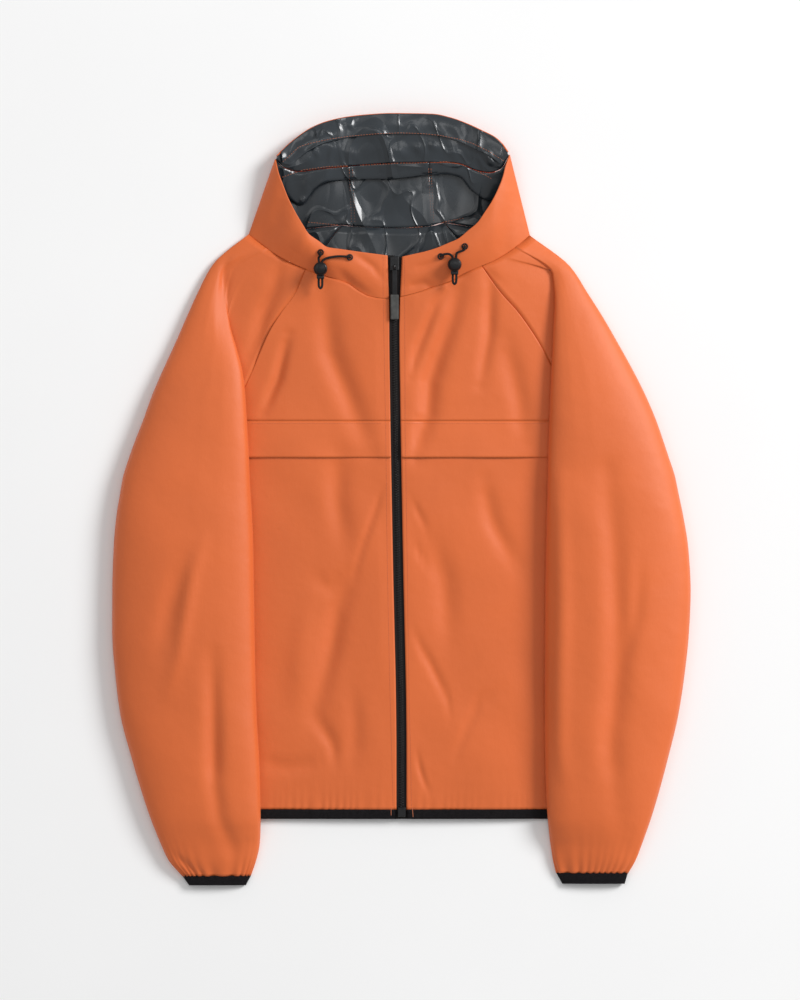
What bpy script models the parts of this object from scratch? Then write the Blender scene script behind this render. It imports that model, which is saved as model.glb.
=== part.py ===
"""A hooded rain jacket of coated cloth, laid out flat and face up with its zip closed.

The frame: X runs to the wearer's left, Y from hem to hood, Z up from the surface the
jacket lies on. Lengths in the tables are millimetres, and become metres in the meshes.
Each piece of cloth is a wall of one thickness round a grid of points on its middle.
"""

import math

import bmesh
import bpy
import numpy as np
from mathutils import Vector
from mathutils.bvhtree import BVHTree

MM = 0.001

# Driving dimensions, in millimetres
CLOTH = 1.2  # thickness of the coated cloth, with its tape and coating
GAP = 0.3  # clearance between pieces at a seam and between layers
HEM_Y = -372.6  # where the fronts and the back end and the binding starts
BINDING = 11.5  # width of the black binding round the hem and the cuffs
YOKE_Y = 94.2  # the seam across the chest that holds the vent flap
FLAP_DEPTH = 44.0  # how far the vent flap hangs below that seam
UNDERARM_Y = 27.8  # where the raglan seams end and the side seams start
TAPE_UNDERLAP = 6.0  # how far the zip's tape runs under each front
FACING = 25.0  # depth of the facing inside the hood's rim
CORD = 2.8  # diameter of the drawcord
SLEEVE_LIFT = 3.8  # from the middle of the front to the middle of the sleeve lying on it
TURN = 1.9  # radius of a hidden fold, to the middle of the cloth
EDGE_INSET = 0.7  # how far a sleeve's panels stop short of the bend where they meet
BAND_INSET = 0.6  # how far the band stops short of the crown's edge
BAND_END = 1.2  # how far it stops short of the corners beside the face
WING_BULGE = 5.0  # how far a wing of the hood rounds up between its edges
BAND_BULGE = 3.0  # how far the hood's front band rounds up between its edges
TAPE_DROP = 0.3  # extra room between a front and the zip's tape
FACING_ROOM = 0.8  # extra room between the band and the facing on it

FLOOR = CLOTH / 2  # height of the middle of cloth that rests on the surface
LAYER = CLOTH + GAP  # from the middle of one layer to the next one above it
LEFT, RIGHT = -1, 1  # sides of the picture; the wearer's own left is at +X
SIDES = ((LEFT, "left"), (RIGHT, "right"))


def table(names, *rows):
    """The columns of a small table, by name."""
    return dict(zip(names.split(), np.array(rows, float).T))


# The middle of the zip, and how high the front stands there
ZIP = table(
    "y x width height",
    (HEM_Y - BINDING, 0.0, 12.2, 8.0),
    (HEM_Y, 0.0, 12.2, 9.0),
    (-300.0, 0.0, 12.2, 13.0),
    (-72.0, -4.2, 12.2, 17.0),
    (120.0, -7.6, 12.2, 19.0),
    (204.0, -8.6, 12.2, 21.0),
    (241.0, -8.4, 13.0, 22.5),
    (293.0, -8.2, 17.0, 25.0),
)
# Outer edge of each front, out from the middle: the raglan seam, then the side seam
FRONT_EDGE = {
    LEFT: table(
        "y x",
        (HEM_Y, 244.2),
        (-180.0, 259.4),
        (UNDERARM_Y, 275.4),
        (60.0, 244.0),
        (94.2, 215.0),
        (137.4, 187.1),
        (166.2, 174.6),
        (203.4, 157.8),
        (237.0, 135.6),
        (258.0, 121.0),
        (276.6, 114.5),
    ),
    RIGHT: table(
        "y x",
        (HEM_Y, 244.2),
        (-180.0, 259.4),
        (UNDERARM_Y, 275.4),
        (60.0, 246.0),
        (94.2, 219.0),
        (137.4, 192.0),
        (167.4, 177.0),
        (203.4, 155.4),
        (235.8, 130.9),
        (262.2, 106.2),
        (280.2, 96.0),
    ),
}
# Outer edge of the back: the same side seam, then its own raglan seam up to the nape
BACK_EDGE = {
    LEFT: table(
        "y x",
        (HEM_Y, 244.2),
        (-180.0, 259.4),
        (UNDERARM_Y, 275.4),
        (94.2, 234.0),
        (166.0, 190.0),
        (235.0, 145.0),
        (290.0, 104.0),
        (330.1, 72.6),
    ),
    RIGHT: table(
        "y x",
        (HEM_Y, 244.2),
        (-180.0, 259.4),
        (UNDERARM_Y, 275.4),
        (94.2, 232.0),
        (166.0, 184.0),
        (235.0, 134.0),
        (290.0, 88.0),
        (333.0, 51.0),
    ),
}
# Where the front has come down to the back, out from the middle
FLAT_EDGE = {
    LEFT: table("y x", (HEM_Y, 244.2), (UNDERARM_Y, 275.4), (299.4, 213.6), (318.6, 186.0)),
    RIGHT: table("y x", (HEM_Y, 244.2), (UNDERARM_Y, 275.4), (299.4, 190.0), (318.6, 157.0)),
}
# The neck seam of each front from the zip to the raglan seam
FRONT_NECK = {
    LEFT: table(
        "x y", (16.2, 240.8), (34.2, 242.4), (52.9, 250.8), (68.3, 261.0), (90.6, 268.2), (114.5, 276.6)
    ),
    RIGHT: table(
        "x y", (5.9, 243.0), (24.6, 248.0), (42.6, 255.0), (59.4, 261.0), (78.6, 272.3), (96.0, 280.2)
    ),
}
# A sleeve, a row for each section from the neck to the cuff: its front seam, the hidden
# turn, the inner fold lying on the front, the outer edge, the back seam, how high it
# stands, how crisp its inner fold is, and the radius of its outer edge
SLEEVE_COLUMNS = "y_seam turn fold outer y_outer y_back crown crisp edge"
SLEEVE = {
    LEFT: table(
        SLEEVE_COLUMNS,
        (276.6, 140.0, 162.0, 183.5, 318.6, 330.1, 0.0, 0.0, 3.0),
        (258.0, 172.0, 194.0, 213.6, 299.4, 308.0, 2.0, 0.0, 4.0),
        (237.0, 196.0, 212.0, 237.0, 263.4, 272.0, 6.0, 0.1, 5.0),
        (203.4, 212.0, 207.0, 258.0, 219.0, 222.0, 11.0, 0.5, 6.0),
        (166.2, 228.0, 194.0, 280.2, 168.0, 170.0, 15.5, 0.9, 7.0),
        (137.4, 240.0, 189.0, 294.6, 137.4, 137.4, 18.5, 1.0, 8.0),
        (94.2, 252.0, 186.0, 310.4, 94.2, 94.2, 21.0, 1.0, 9.0),
        (60.0, 264.0, 184.0, 323.6, 60.0, 60.0, 23.0, 1.0, 9.0),
        (UNDERARM_Y, 282.0, 182.6, 334.0, UNDERARM_Y, UNDERARM_Y, 24.5, 1.0, 9.0),
    ),
    RIGHT: table(
        SLEEVE_COLUMNS,
        (280.2, 120.0, 138.0, 154.0, 317.4, 333.0, 0.0, 0.0, 3.0),
        (262.0, 160.0, 172.0, 186.6, 299.4, 310.0, 2.0, 0.3, 4.0),
        (237.0, 198.0, 185.0, 213.0, 263.4, 270.0, 7.0, 0.9, 5.0),
        (203.4, 213.0, 183.0, 243.0, 217.0, 220.0, 12.0, 1.0, 6.0),
        (166.2, 228.0, 181.0, 270.6, 168.0, 170.0, 16.5, 1.0, 7.0),
        (137.4, 239.0, 179.5, 287.0, 137.4, 137.4, 19.0, 1.0, 8.0),
        (94.2, 252.0, 177.8, 305.9, 94.2, 94.2, 22.0, 1.0, 9.0),
        (60.0, 264.0, 176.5, 317.6, 60.0, 60.0, 24.0, 1.0, 9.0),
        (UNDERARM_Y, 282.0, 175.9, 328.2, UNDERARM_Y, UNDERARM_Y, 25.0, 1.0, 9.0),
    ),
}
ARM_COLUMNS = "y under turn fold outer crown edge"
ARM = {
    LEFT: table(
        ARM_COLUMNS,
        (-452.4, 223.0, 214.0, 181.8, 263.0, 5.5, 5.0),
        (-432.6, 232.0, 222.0, 175.0, 280.2, 11.0, 7.0),
        (-408.6, 241.0, 231.0, 170.5, 291.0, 15.0, 8.0),
        (-384.6, 249.0, 246.0, 169.8, 300.6, 17.0, 9.0),
        (-336.6, 254.5, 250.5, 170.4, 316.2, 20.5, 9.0),
        (-240.6, 262.0, 258.0, 175.1, 340.2, 24.5, 9.0),
        (-144.6, 269.5, 265.5, 177.0, 347.4, 26.5, 9.0),
        (-46.2, 277.5, 273.5, 178.6, 345.0, 26.5, 9.0),
        (12.0, 283.0, 279.0, 181.8, 337.0, 25.0, 9.0),
    ),
    RIGHT: table(
        ARM_COLUMNS,
        (-448.8, 230.0, 220.0, 186.8, 271.8, 5.5, 5.0),
        (-432.6, 234.0, 225.0, 182.6, 281.5, 9.5, 7.0),
        (-408.6, 241.0, 231.0, 179.0, 290.5, 14.5, 8.0),
        (-384.6, 249.0, 246.0, 176.3, 299.0, 17.0, 9.0),
        (-336.6, 254.5, 250.5, 173.6, 313.0, 21.0, 9.0),
        (-240.6, 262.0, 258.0, 172.4, 335.4, 25.0, 9.0),
        (-144.6, 269.5, 265.5, 172.8, 345.9, 27.0, 9.0),
        (-96.6, 273.0, 269.0, 173.2, 347.2, 27.0, 9.0),
        (-46.2, 277.5, 273.5, 174.0, 342.6, 27.0, 9.0),
        (12.0, 283.0, 279.0, 175.6, 331.5, 26.0, 9.0),
    ),
}
# The nape seam, from the left raglan seam to the right one
NAPE = table("x y", (-72.6, 330.1), (-58.2, 328.6), (-1.8, 326.6), (36.0, 329.2), (51.0, 333.0))
CROWN_SEAMS = (-58.2, 36.0)  # where the crown seams meet the nape seam
# The opening edge of the hood from the zip to the corner beside the face
OPENING = {
    LEFT: table(
        "x y z",
        (16.6, 292.9, 25.0),
        (49.1, 297.0, 28.0),
        (88.9, 302.5, 31.0),
        (111.0, 318.1, 33.0),
        (124.9, 340.2, 34.0),
        (137.9, 365.9, 32.0),
        (148.2, 395.0, 26.0),
        (150.4, 411.0, 20.0),
    ),
    RIGHT: table(
        "x y z",
        (0.5, 291.4, 25.0),
        (36.6, 299.4, 28.0),
        (67.1, 312.0, 31.0),
        (90.6, 331.1, 33.0),
        (107.0, 355.0, 34.0),
        (119.5, 380.0, 31.0),
        (125.5, 403.0, 25.0),
        (128.3, 416.0, 20.0),
    ),
}
# The back of the hood from one side fold to the other, a row for each line across it:
# the hidden turn, the fold that hangs over the crown, the seam of the front band and the
# rim, as x and y, then how far the overhanging fold is closed, and the band's heights
HOOD_COLUMNS = "s turn_x turn_y fold_x fold_y band_x band_y rim_x rim_y closed band_z rim_z"
HOOD = table(
    HOOD_COLUMNS,
    (0.0, -167.0, 366.0, -158.0, 390.0, -151.2, 409.0, -150.4, 411.0, 0.0, 19.0, 20.0),
    (0.1, -158.0, 378.0, -138.0, 360.0, -138.0, 397.0, -141.0, 421.0, 0.6, 13.0, 19.0),
    (0.2, -138.0, 404.0, -121.0, 354.0, -122.0, 394.0, -126.0, 434.0, 1.0, 12.0, 17.0),
    (0.3, -108.0, 428.0, -96.0, 381.0, -98.0, 397.0, -100.0, 450.0, 1.0, 12.0, 16.0),
    (0.4, -68.0, 440.0, -63.0, 385.5, -63.0, 400.5, -66.0, 459.0, 1.0, 12.0, 15.0),
    (0.5, -15.0, 445.0, -15.0, 386.0, -15.0, 404.0, -12.0, 463.4, 1.0, 12.0, 15.0),
    (0.6, 33.0, 441.0, 33.0, 391.0, 33.0, 405.0, 38.0, 462.5, 1.0, 12.0, 15.0),
    (0.7, 66.0, 431.0, 62.0, 392.0, 62.0, 405.0, 68.0, 455.0, 1.0, 12.0, 16.0),
    (0.8, 98.0, 408.0, 85.0, 372.0, 88.0, 396.0, 97.0, 442.5, 1.0, 12.0, 17.0),
    (0.9, 128.0, 384.0, 112.0, 352.0, 112.0, 392.0, 117.0, 431.0, 0.6, 13.0, 19.0),
    (1.0, 142.0, 366.0, 136.0, 392.0, 129.5, 414.0, 128.3, 416.0, 0.0, 19.0, 20.0),
)
CROWN_AT = (0.4, 0.6)  # rows of that table on the two crown seams
# The elastic cuffs: centre of the mouth, and the width at the seam and at the mouth
CUFF = {
    LEFT: table("y inner outer height", (-452.4, 181.8, 263.0, 11.0), (-463.8, 187.8, 255.0, 10.0)),
    RIGHT: table("y inner outer height", (-448.8, 186.8, 271.8, 11.0), (-462.0, 194.0, 268.0, 10.0)),
}
# The drawcord's eyelets on each wing, the far one first
EYELETS = {LEFT: ((-96.8, 296.0), (-62.2, 290.0)), RIGHT: ((75.8, 303.0), (47.2, 291.0))}
# Each toggle's place, and its shape as (radius, height) up its outside
TOGGLE = {LEFT: (-97.0, 276.0), RIGHT: (63.5, 281.0)}
TOGGLE_BODY = [(0, 0), (6.6, 0), (8.0, 1.2), (8.4, 4.0), (8.4, 9.0), (7.6, 11.4), (6.7, 12.0)]
TOGGLE_BODY += [(6.7, 7.6), (0, 7.6)]  # down into the button's recess
TOGGLE_BUTTON = ((0, 10.4), (6.3, 10.4), (6.3, 13.6), (5.4, 14.6), (3.0, 15.2), (0, 15.4))
TOGGLE_SPOUT = (9.0, 8.0, 6.4)  # the block at the side where the cord's loop leaves
TOGGLE_SLOT = (8.0, 40.0, 3.8)  # the slot that both strands run through
TOGGLE_FOOT = 8.0  # radius of the ring on which a toggle rests on the cloth
EYELET_RADIUS = 3.2  # to the middle of its rounded rim
EYELET_SECTION = 0.9  # radius of that rim's section
EYELET_RISE = 1.9  # from the middle of the cloth to the middle of an eyelet
STRAND = 1.9  # from the middle of a toggle to either strand of its cord
STRAND_Z = 4.0  # height of the strands in the toggle
# The slider as x, y, underside, width, length and height, and the zip's stop at the hem
SLIDER = (-8.3, 283.0, 24.2, 10.8, 17.0, 3.2)
HINGE = (-8.3, 279.0, 28.5)
BAIL_RADIUS = 2.6  # of the ring on the slider, to the middle of its wire
BAIL_SECTION = 0.8  # radius of that wire
PULL_SLOPE = math.radians(3.5)  # the pull lies down towards the hem
LINK = (5.6, 40.0, 1.4)  # the pull's link
LINK_EYE = (3.2, 3.6, 4.0)  # the cut in the link's end for the bail
LINK_HEAD = 1.4  # how much of the link is left beyond that cut
LINK_BEHIND = 0.7  # how far the link reaches behind the hinge
TAB = (9.8, 30.0, 3.4)  # the rubber tab over the end of the link
POCKET = 6.0  # how far the link goes into the tab
ZIP_STOP = (0.3, -375.5, 10.4, 9.4, 11.0, 4.0)

# How finely the cloth is divided
FRONT_COLUMNS = 9
SLEEVE_STEPS = (2, 4, 12, 3)
SLEEVE_EDGE = sum(SLEEVE_STEPS[:3]) + 5  # the point of a section where the two panels meet
HOOD_STEPS = (4, 2, 1)
WING_CAP_STEPS = 5


def smooth(knots, values, at):
    """The smooth curve through (knots, values), with no overshoot, read at the places at."""
    step = np.diff(knots)
    slope = np.diff(values) / step
    tangent = np.zeros(len(knots))
    tangent[0], tangent[-1] = slope[0], slope[-1]
    rising = slope[:-1] * slope[1:] > 0
    both = slope[:-1] + slope[1:]
    tangent[1:-1][rising] = 2 * (slope[:-1] * slope[1:])[rising] / both[rising]
    k = np.clip(np.searchsorted(knots, at) - 1, 0, len(knots) - 2)
    t = np.clip((at - knots[k]) / step[k], 0, 1)
    start, end = values[k], values[k + 1]
    bend = (t - 2 * t**2 + t**3) * tangent[k] + (t**3 - t**2) * tangent[k + 1]
    return start + (end - start) * (3 * t**2 - 2 * t**3) + bend * step[k]


def read(rows, column, at, knot="y"):
    """A column of a table at places between its rows, whose knot column only rises."""
    order = np.argsort(rows[knot])
    return smooth(rows[knot][order], rows[column][order], np.asarray(at, float))


def mix(start, end, share):
    return start + (end - start) * share


def zip_x(y):
    return read(ZIP, "x", y)


def front_height(x, y):
    """Height of the middle of the front at (x, y): highest at the zip, down to the back."""
    x, y = np.broadcast_arrays(np.asarray(x, float), np.asarray(y, float))
    low = FLOOR + LAYER
    left, right = (read(FLAT_EDGE[side], "x", y) for side, _ in SIDES)
    out = x - zip_x(y)
    reach = np.where(out < 0, left + zip_x(y), right - zip_x(y))
    away = np.clip(np.abs(out) / reach, 0, 1)
    return low + (read(ZIP, "height", y) - low) * (1 - away**2.2)


def front_rows(side, side_ys, zip_ys, count, lift=0.0):
    """Grid of a front between two seams across it, a row for each pair of end heights."""
    across = np.linspace(0, 1, count)
    neck = FRONT_NECK[side]
    top_side, top_zip = neck["y"][-1], neck["y"][0]
    grid = []
    for side_y, zip_y in zip(side_ys, zip_ys):
        start = zip_x(zip_y) + side * read(ZIP, "width", zip_y) / 2
        end = side * read(FRONT_EDGE[side], "x", side_y)
        x = mix(start, end, across)
        y = mix(zip_y, side_y, across)
        near_neck = np.clip((side_y - YOKE_Y) / (top_side - YOKE_Y), 0, 1)
        along = mix(neck["x"][0], neck["x"][-1], across)
        dip = smooth(neck["x"], neck["y"], along) - mix(top_zip, top_side, across)
        y = y + dip * near_neck**2
        grid.append(np.stack([x, y, front_height(x, y) + lift], 1))
    return np.array(grid)


def cap_ys(side):
    """Heights of the rows down a raglan seam, from the neck to the yoke's seam."""
    return np.concatenate([SLEEVE[side]["y_seam"][:1], [248.0, 226.0, 203.4, 180.0, 152.0, 123.0, YOKE_Y]])


def lower_ys():
    """Heights of the rows below the yoke's seam, down to the hem."""
    chest = [YOKE_Y, 72.0, YOKE_Y - FLAP_DEPTH, UNDERARM_Y]
    return np.array([*chest, -20.0, -90.0, -160.0, -230.0, -300.0, -345.0, HEM_Y])


def rested(x, y):
    """Height of the middle of a sleeve's lower layer: on the front, or past the hem on the floor."""
    over = np.clip((y - HEM_Y + BINDING + 26) / 20, 0, 1)
    over = over * over * (3 - 2 * over)
    return mix(FLOOR, front_height(x, y) + SLEEVE_LIFT, over)


def sleeve_section(side, row, steps):
    """One section of a sleeve, from its front seam round to its back seam.

    steps gives how many points the parts of the section take: out from the seam, in to
    the inner fold, over the top, and back along the floor.
    """
    out_steps, in_steps, top_steps, floor_steps = steps
    seam, turn, fold, outer = (row[name] for name in ("seam", "turn", "fold", "outer"))
    crisp, edge = row["crisp"], row["edge"]
    lift = SLEEVE_LIFT * crisp
    points = []

    def add(x, height):
        """Adds the point at the distance x out from the middle, at a height that its place gives."""
        share = np.clip((x - seam) / max(outer - seam, 1.0), 0, 1)
        y = mix(row["y_seam"], row["y_outer"], share) - row["sag"] * 4 * share * (1 - share)
        points.append((side * x, y, float(height(side * x, y))))

    def upper(x, y):
        """The layer that lies on the front."""
        return front_height(x, y) + lift if row["joined"] else rested(x, y)

    def lower(share):
        """The layer that leaves the seam: level with the front, or up from the floor below the arm."""
        if row["joined"]:
            return lambda x, y: front_height(x, y) + lift / 2 * max(0, share * 2 - 1)
        return lambda x, y: mix(FLOOR, rested(x, y), share / 2)

    turned = min(0.35, TURN / (abs(turn - seam) + 0.01))
    for k in range(out_steps + 1):
        add(mix(seam, turn, k / out_steps * (1 - turned)), lower(k / out_steps / 2))
    add(turn, lower(1.0))
    near = min(0.35, TURN / (abs(fold - turn) + 0.01))
    for k in range(in_steps + 1):
        add(mix(turn, fold, mix(near, 1 - near, k / in_steps)), upper)
    base = points[-1][2] + 0.55 * edge * crisp
    rise = FLOOR + edge
    for k in range(top_steps + 1):
        share = 0.5 - 0.5 * math.cos(math.pi * k / top_steps)
        away = abs(2 * share - 1)
        domed = (1 - away**2.4) ** (1 / 2.4)
        eased = 0.5 + 0.5 * math.cos(math.pi * away)
        top = mix(eased, domed, crisp) if share < 0.5 else domed
        add(mix(fold, outer, share), lambda x, y: mix(base, rise, share) + row["crown"] * top)
    for angle in (math.pi / 4, math.pi / 2):
        in_by, down_by = edge * (1 - math.cos(angle)), edge * math.sin(angle)
        points.append((side * (outer - in_by), row["y_outer"], rise - down_by))
    start = np.array(points[-1])
    end = np.array((side * row["back"], row["y_back"], FLOOR))
    points += [mix(start, end, k / floor_steps) for k in range(1, floor_steps + 1)]
    return np.array(points)


def sleeve_rows(side, cap, arm):
    """The rows of a sleeve: those of its cap at the seam heights cap, then those of its arm."""
    rows = []
    for k, y in enumerate(cap):
        row = {name: float(read(SLEEVE[side], name, y, "y_seam")) for name in SLEEVE_COLUMNS.split()}
        row["y_seam"] = y
        row["seam"] = float(read(FRONT_EDGE[side], "x", y))
        row["back"] = float(read(BACK_EDGE[side], "x", row["y_back"]))
        row["sag"] = 4.5 if k == 0 else 0.0
        row["joined"] = 1.0
        rows.append(row)
    for y in arm:
        row = {name: float(read(ARM[side], name, y)) for name in ARM_COLUMNS.split()}
        row |= {"y_seam": y, "y_outer": y, "y_back": y, "seam": row["under"], "back": row["under"]}
        row |= {"crisp": 1.0, "sag": 0.0, "joined": 0.0}
        rows.append(row)
    return rows


def sleeve_grid(side, cap, arm, steps):
    return np.array([sleeve_section(side, row, steps) for row in sleeve_rows(side, cap, arm)])


def run_of(points):
    """How far along a line of points each one is."""
    return np.concatenate([[0], np.cumsum(np.linalg.norm(np.diff(points, axis=0), axis=1))])


def polyline(points, shares):
    """Points at shares of the length of a line of points."""
    points = np.asarray(points, float)
    run = run_of(points)
    return np.stack([np.interp(np.asarray(shares) * run[-1], run, points[:, axis]) for axis in range(3)], 1)


def hood_row(s):
    """The row of the hood's table at s, with its places as points."""
    row = {name: float(smooth(HOOD["s"], HOOD[name], np.array([s]))[0]) for name in HOOD_COLUMNS.split()}
    closed = row["closed"]
    return {
        "turn": np.array((row["turn_x"], row["turn_y"], FLOOR)),
        "fold": np.array((row["fold_x"], row["fold_y"], FLOOR + 2 * TURN)),
        "band": np.array((row["band_x"], row["band_y"], row["band_z"])),
        "rim": np.array((row["rim_x"], row["rim_y"], row["rim_z"])),
        "closed": closed,
    }


def flat_step(start, end):
    """The step of one turn's radius from start towards end, level with the floor."""
    step = (end - start) * (1, 1, 0)
    return step / np.linalg.norm(step) * TURN


def hood_line(s, foot, steps):
    """A line up the back of the hood, from its foot on the neck seam to the band's seam.

    The cloth goes up under itself to the hidden turn, back to the fold that hangs over
    the crown, and up again; where the row isn't closed it just goes up the side.
    """
    row = hood_row(s)
    turn, fold, band, closed = row["turn"], row["fold"], row["band"], row["closed"]
    up = (0, 0, TURN)
    out, back = flat_step(foot, turn), flat_step(turn, fold)
    folded = [turn - out, turn + up, turn - out + np.multiply(2, up)]
    folded += [fold - back, fold + up, fold - back + np.multiply(2, up)]
    on_side = [mix(foot, band, share) for share in (0.42, 0.48, 0.54, 0.70, 0.76, 0.82)]
    places = [mix(side, inner, closed) for side, inner in zip(on_side, folded)]
    start = foot * (1, 1, 0) + (0, 0, mix(foot[2], FLOOR, closed))
    line = [start]
    legs = ((places[0], steps[0]), (places[1], 1), (places[2], 1), (places[3], steps[1]))
    legs += ((places[4], 1), (places[5], 1), (band, steps[2]))
    for end, count in legs:
        start = line[-1]
        line += [mix(start, end, k / count) for k in range(1, count + 1)]
    return np.array(line)


def wing_columns(side, foot, shares):
    """The hood's front layer as columns from the zip to the side fold, up to the rim."""
    rim = OPENING[side]
    across = run_of(foot) / run_of(foot)[-1]
    top = polyline(np.stack([side * rim["x"], rim["y"], rim["z"]], 1), across)
    columns = []
    for k, share in enumerate(across):
        column = mix(foot[k], top[k], shares[:, None])
        bulge = WING_BULGE * math.sin(math.pi * share) ** 0.7
        column[:, 2] += bulge * np.sin(math.pi * shares)
        columns.append(column)
    return columns


def hood_side(side, wing_foot, back_foot, steps):
    """A side of the hood: its wing, the fold at the side and its part of the back."""
    s_fold, s_seam = (0.0, CROWN_AT[0]) if side == LEFT else (1.0, CROWN_AT[1])
    fold_line = hood_line(s_fold, wing_foot[-1], steps)
    shares = run_of(fold_line) / run_of(fold_line)[-1]
    columns = wing_columns(side, wing_foot, shares)
    columns[-1] = fold_line
    for share, foot in zip(np.linspace(0, 1, len(back_foot))[1:], back_foot[1:]):
        columns.append(hood_line(mix(s_fold, s_seam, share), foot, steps))
    grid = np.array(columns)
    return grid if side == LEFT else grid[::-1]


# From points to objects


def seamed(grid, edges, by=GAP / 2):
    """The grid with its named edges drawn in by half of a seam's gap."""
    grid = grid.copy()
    across = grid.swapaxes(0, 1)
    views = {"first": grid, "last": grid[::-1], "start": across, "end": across[::-1]}
    for edge in edges:
        view = views[edge]
        step = view[1] - view[0]
        view[0] = view[0] + step / np.linalg.norm(step, axis=-1, keepdims=True) * by
    return grid


def material(name, colour, roughness, metallic=0.0):
    made = bpy.data.materials.new(name)
    made.use_nodes = True
    shader = made.node_tree.nodes["Principled BSDF"]
    shader.inputs["Base Color"].default_value = (*colour, 1.0)
    shader.inputs["Roughness"].default_value = roughness
    shader.inputs["Metallic"].default_value = metallic
    return made


def place(name, mesh, finish):
    mesh.materials.append(finish)
    mesh.shade_smooth()
    mesh.set_sharp_from_angle(angle=math.radians(40))
    made = bpy.data.objects.new(name, mesh)
    bpy.context.scene.collection.objects.link(made)
    return made


def cloth(name, grid, finish, closed=False):
    """A wall of cloth round a grid of points on its middle; a closed one joins its ends."""
    rows, columns = grid.shape[:2]
    index = np.arange(rows * columns).reshape(rows, columns)
    if closed:
        index = np.concatenate([index, index[:, :1]], 1)
    quads = np.stack([index[:-1, :-1], index[:-1, 1:], index[1:, 1:], index[1:, :-1]], -1).reshape(-1, 4)
    mesh = bpy.data.meshes.new(name)
    mesh.from_pydata((grid.reshape(-1, 3) * MM).tolist(), [], quads.tolist())
    made = place(name, mesh, finish)
    wall = made.modifiers.new("Wall", "SOLIDIFY")
    wall.thickness = CLOTH * MM
    wall.offset = 0.0
    return made


def arm_ys(side):
    """Heights of the rows down an arm, from below the underarm to the cuff's seam."""
    upper = [8.0, -20.0, -60.0, -110.0, -160.0, -210.0, -260.0]
    fore = [-310.0, -350.0, -384.0, -400.0, -416.0, -434.0]
    return np.array([*upper, *fore, ARM[side]["y"][0]])


def back_grid(count):
    """The back, flat on the floor, a row for each pair of heights up its two edges."""
    joined = lower_ys()[1:4]
    low = lower_ys()[:3:-1]
    ys = {}
    for side, _ in SIDES:
        seam = np.concatenate([joined[::-1], cap_ys(side)[::-1]])
        ys[side] = np.concatenate([low, read(SLEEVE[side], "y_back", seam, "y_seam")])
    rows = []
    for left_y, right_y in zip(ys[LEFT], ys[RIGHT]):
        start = np.array((-read(BACK_EDGE[LEFT], "x", left_y), left_y, FLOOR))
        end = np.array((read(BACK_EDGE[RIGHT], "x", right_y), right_y, FLOOR))
        rows.append(mix(start, end, np.linspace(0, 1, count)[:, None]))
    rows[-1][:, 1] = smooth(NAPE["x"], NAPE["y"], rows[-1][:, 0])
    return np.array(rows)


def hem_grid(fronts, back):
    """The binding round the hem, from one side of the zip round the back to the other."""
    edge = read(FRONT_EDGE[LEFT], "x", HEM_Y)
    bend = ((edge - 5, FLOOR + LAYER + 0.3), (edge, FLOOR + LAYER + 0.8), (edge + 1.1, FLOOR + 1.1))
    left = [(x, z) for x, _, z in fronts[LEFT][-1][:-1]] + [(-x, z) for x, z in bend]
    right = [(x, z) for x, z in bend[::-1]] + [(x, z) for x, _, z in fronts[RIGHT][-1][-2::-1]]
    path = np.array(left + [(x, FLOOR) for x in back[0][:, 0]] + right)
    on_front = path[:, 1] > FLOOR + 2 * LAYER
    rows = []
    for y in (HEM_Y, HEM_Y - BINDING):
        drop = front_height(path[:, 0], y) - front_height(path[:, 0], HEM_Y)
        rows.append(np.column_stack([path[:, 0], np.full(len(path), y), path[:, 1] + drop * on_front]))
    return np.array(rows)


def cuff_grid(side, sleeve):
    """A cuff as a ring, from the sleeve's last section to its own narrower mouth."""
    mouth = CUFF[side]
    ring = sleeve[-1][:-1]
    rows = [ring]
    for share in (0.5, 1.0):
        out = (ring[:, 0] * side - mouth["inner"][0]) / (mouth["outer"][0] - mouth["inner"][0])
        y, inner, outer, height = (mix(*mouth[name], share) for name in ("y", "inner", "outer", "height"))
        z = FLOOR + (ring[:, 2] - FLOOR) * height / mouth["height"][0]
        rows.append(np.column_stack([side * mix(inner, outer, out), np.full(len(ring), y), z]))
    return np.array(rows)


def hood_feet(side, front, sleeve, nape, seam_x):
    """The neck edge as two lines: under the wing, and on behind to the crown seam."""
    fold = np.argmax(sleeve[:, 0] * side)
    wing = polyline(sleeve[: fold + 1], np.linspace(0, 1, WING_CAP_STEPS + 1))
    between = nape[nape[:, 0] * side > seam_x * side]
    if side == RIGHT:
        between = between[::-1]
    seam = (seam_x, smooth(NAPE["x"], NAPE["y"], np.array([seam_x]))[0], FLOOR)
    behind = np.concatenate([sleeve[fold:], between[1:], [seam]])
    return np.concatenate([front, wing[1:]]), behind


def hood_centre(nape, count, steps):
    """The middle panel of the crown, between its two seams."""
    seam_y = smooth(NAPE["x"], NAPE["y"], np.array(CROWN_SEAMS))
    inner = nape[(nape[:, 0] > CROWN_SEAMS[0]) & (nape[:, 0] < CROWN_SEAMS[1])]
    ends = [np.array((x, y, FLOOR)) for x, y in zip(CROWN_SEAMS, seam_y)]
    feet = polyline(np.concatenate([[ends[0]], inner, [ends[1]]]), np.linspace(0, 1, count))
    at = np.linspace(*CROWN_AT, count)
    return np.array([hood_line(s, foot, steps) for s, foot in zip(at, feet)])


def band_grid(seam, at, rows):
    """The front band of the hood, from the crown's edge out to the rim."""
    rim = np.array([hood_row(s)["rim"] for s in at])
    grid = []
    for share in np.linspace(0, 1, rows + 1):
        grid.append(mix(seam, rim, share) + (0, 0, BAND_BULGE * math.sin(math.pi * share)))
    return np.array(grid)


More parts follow.
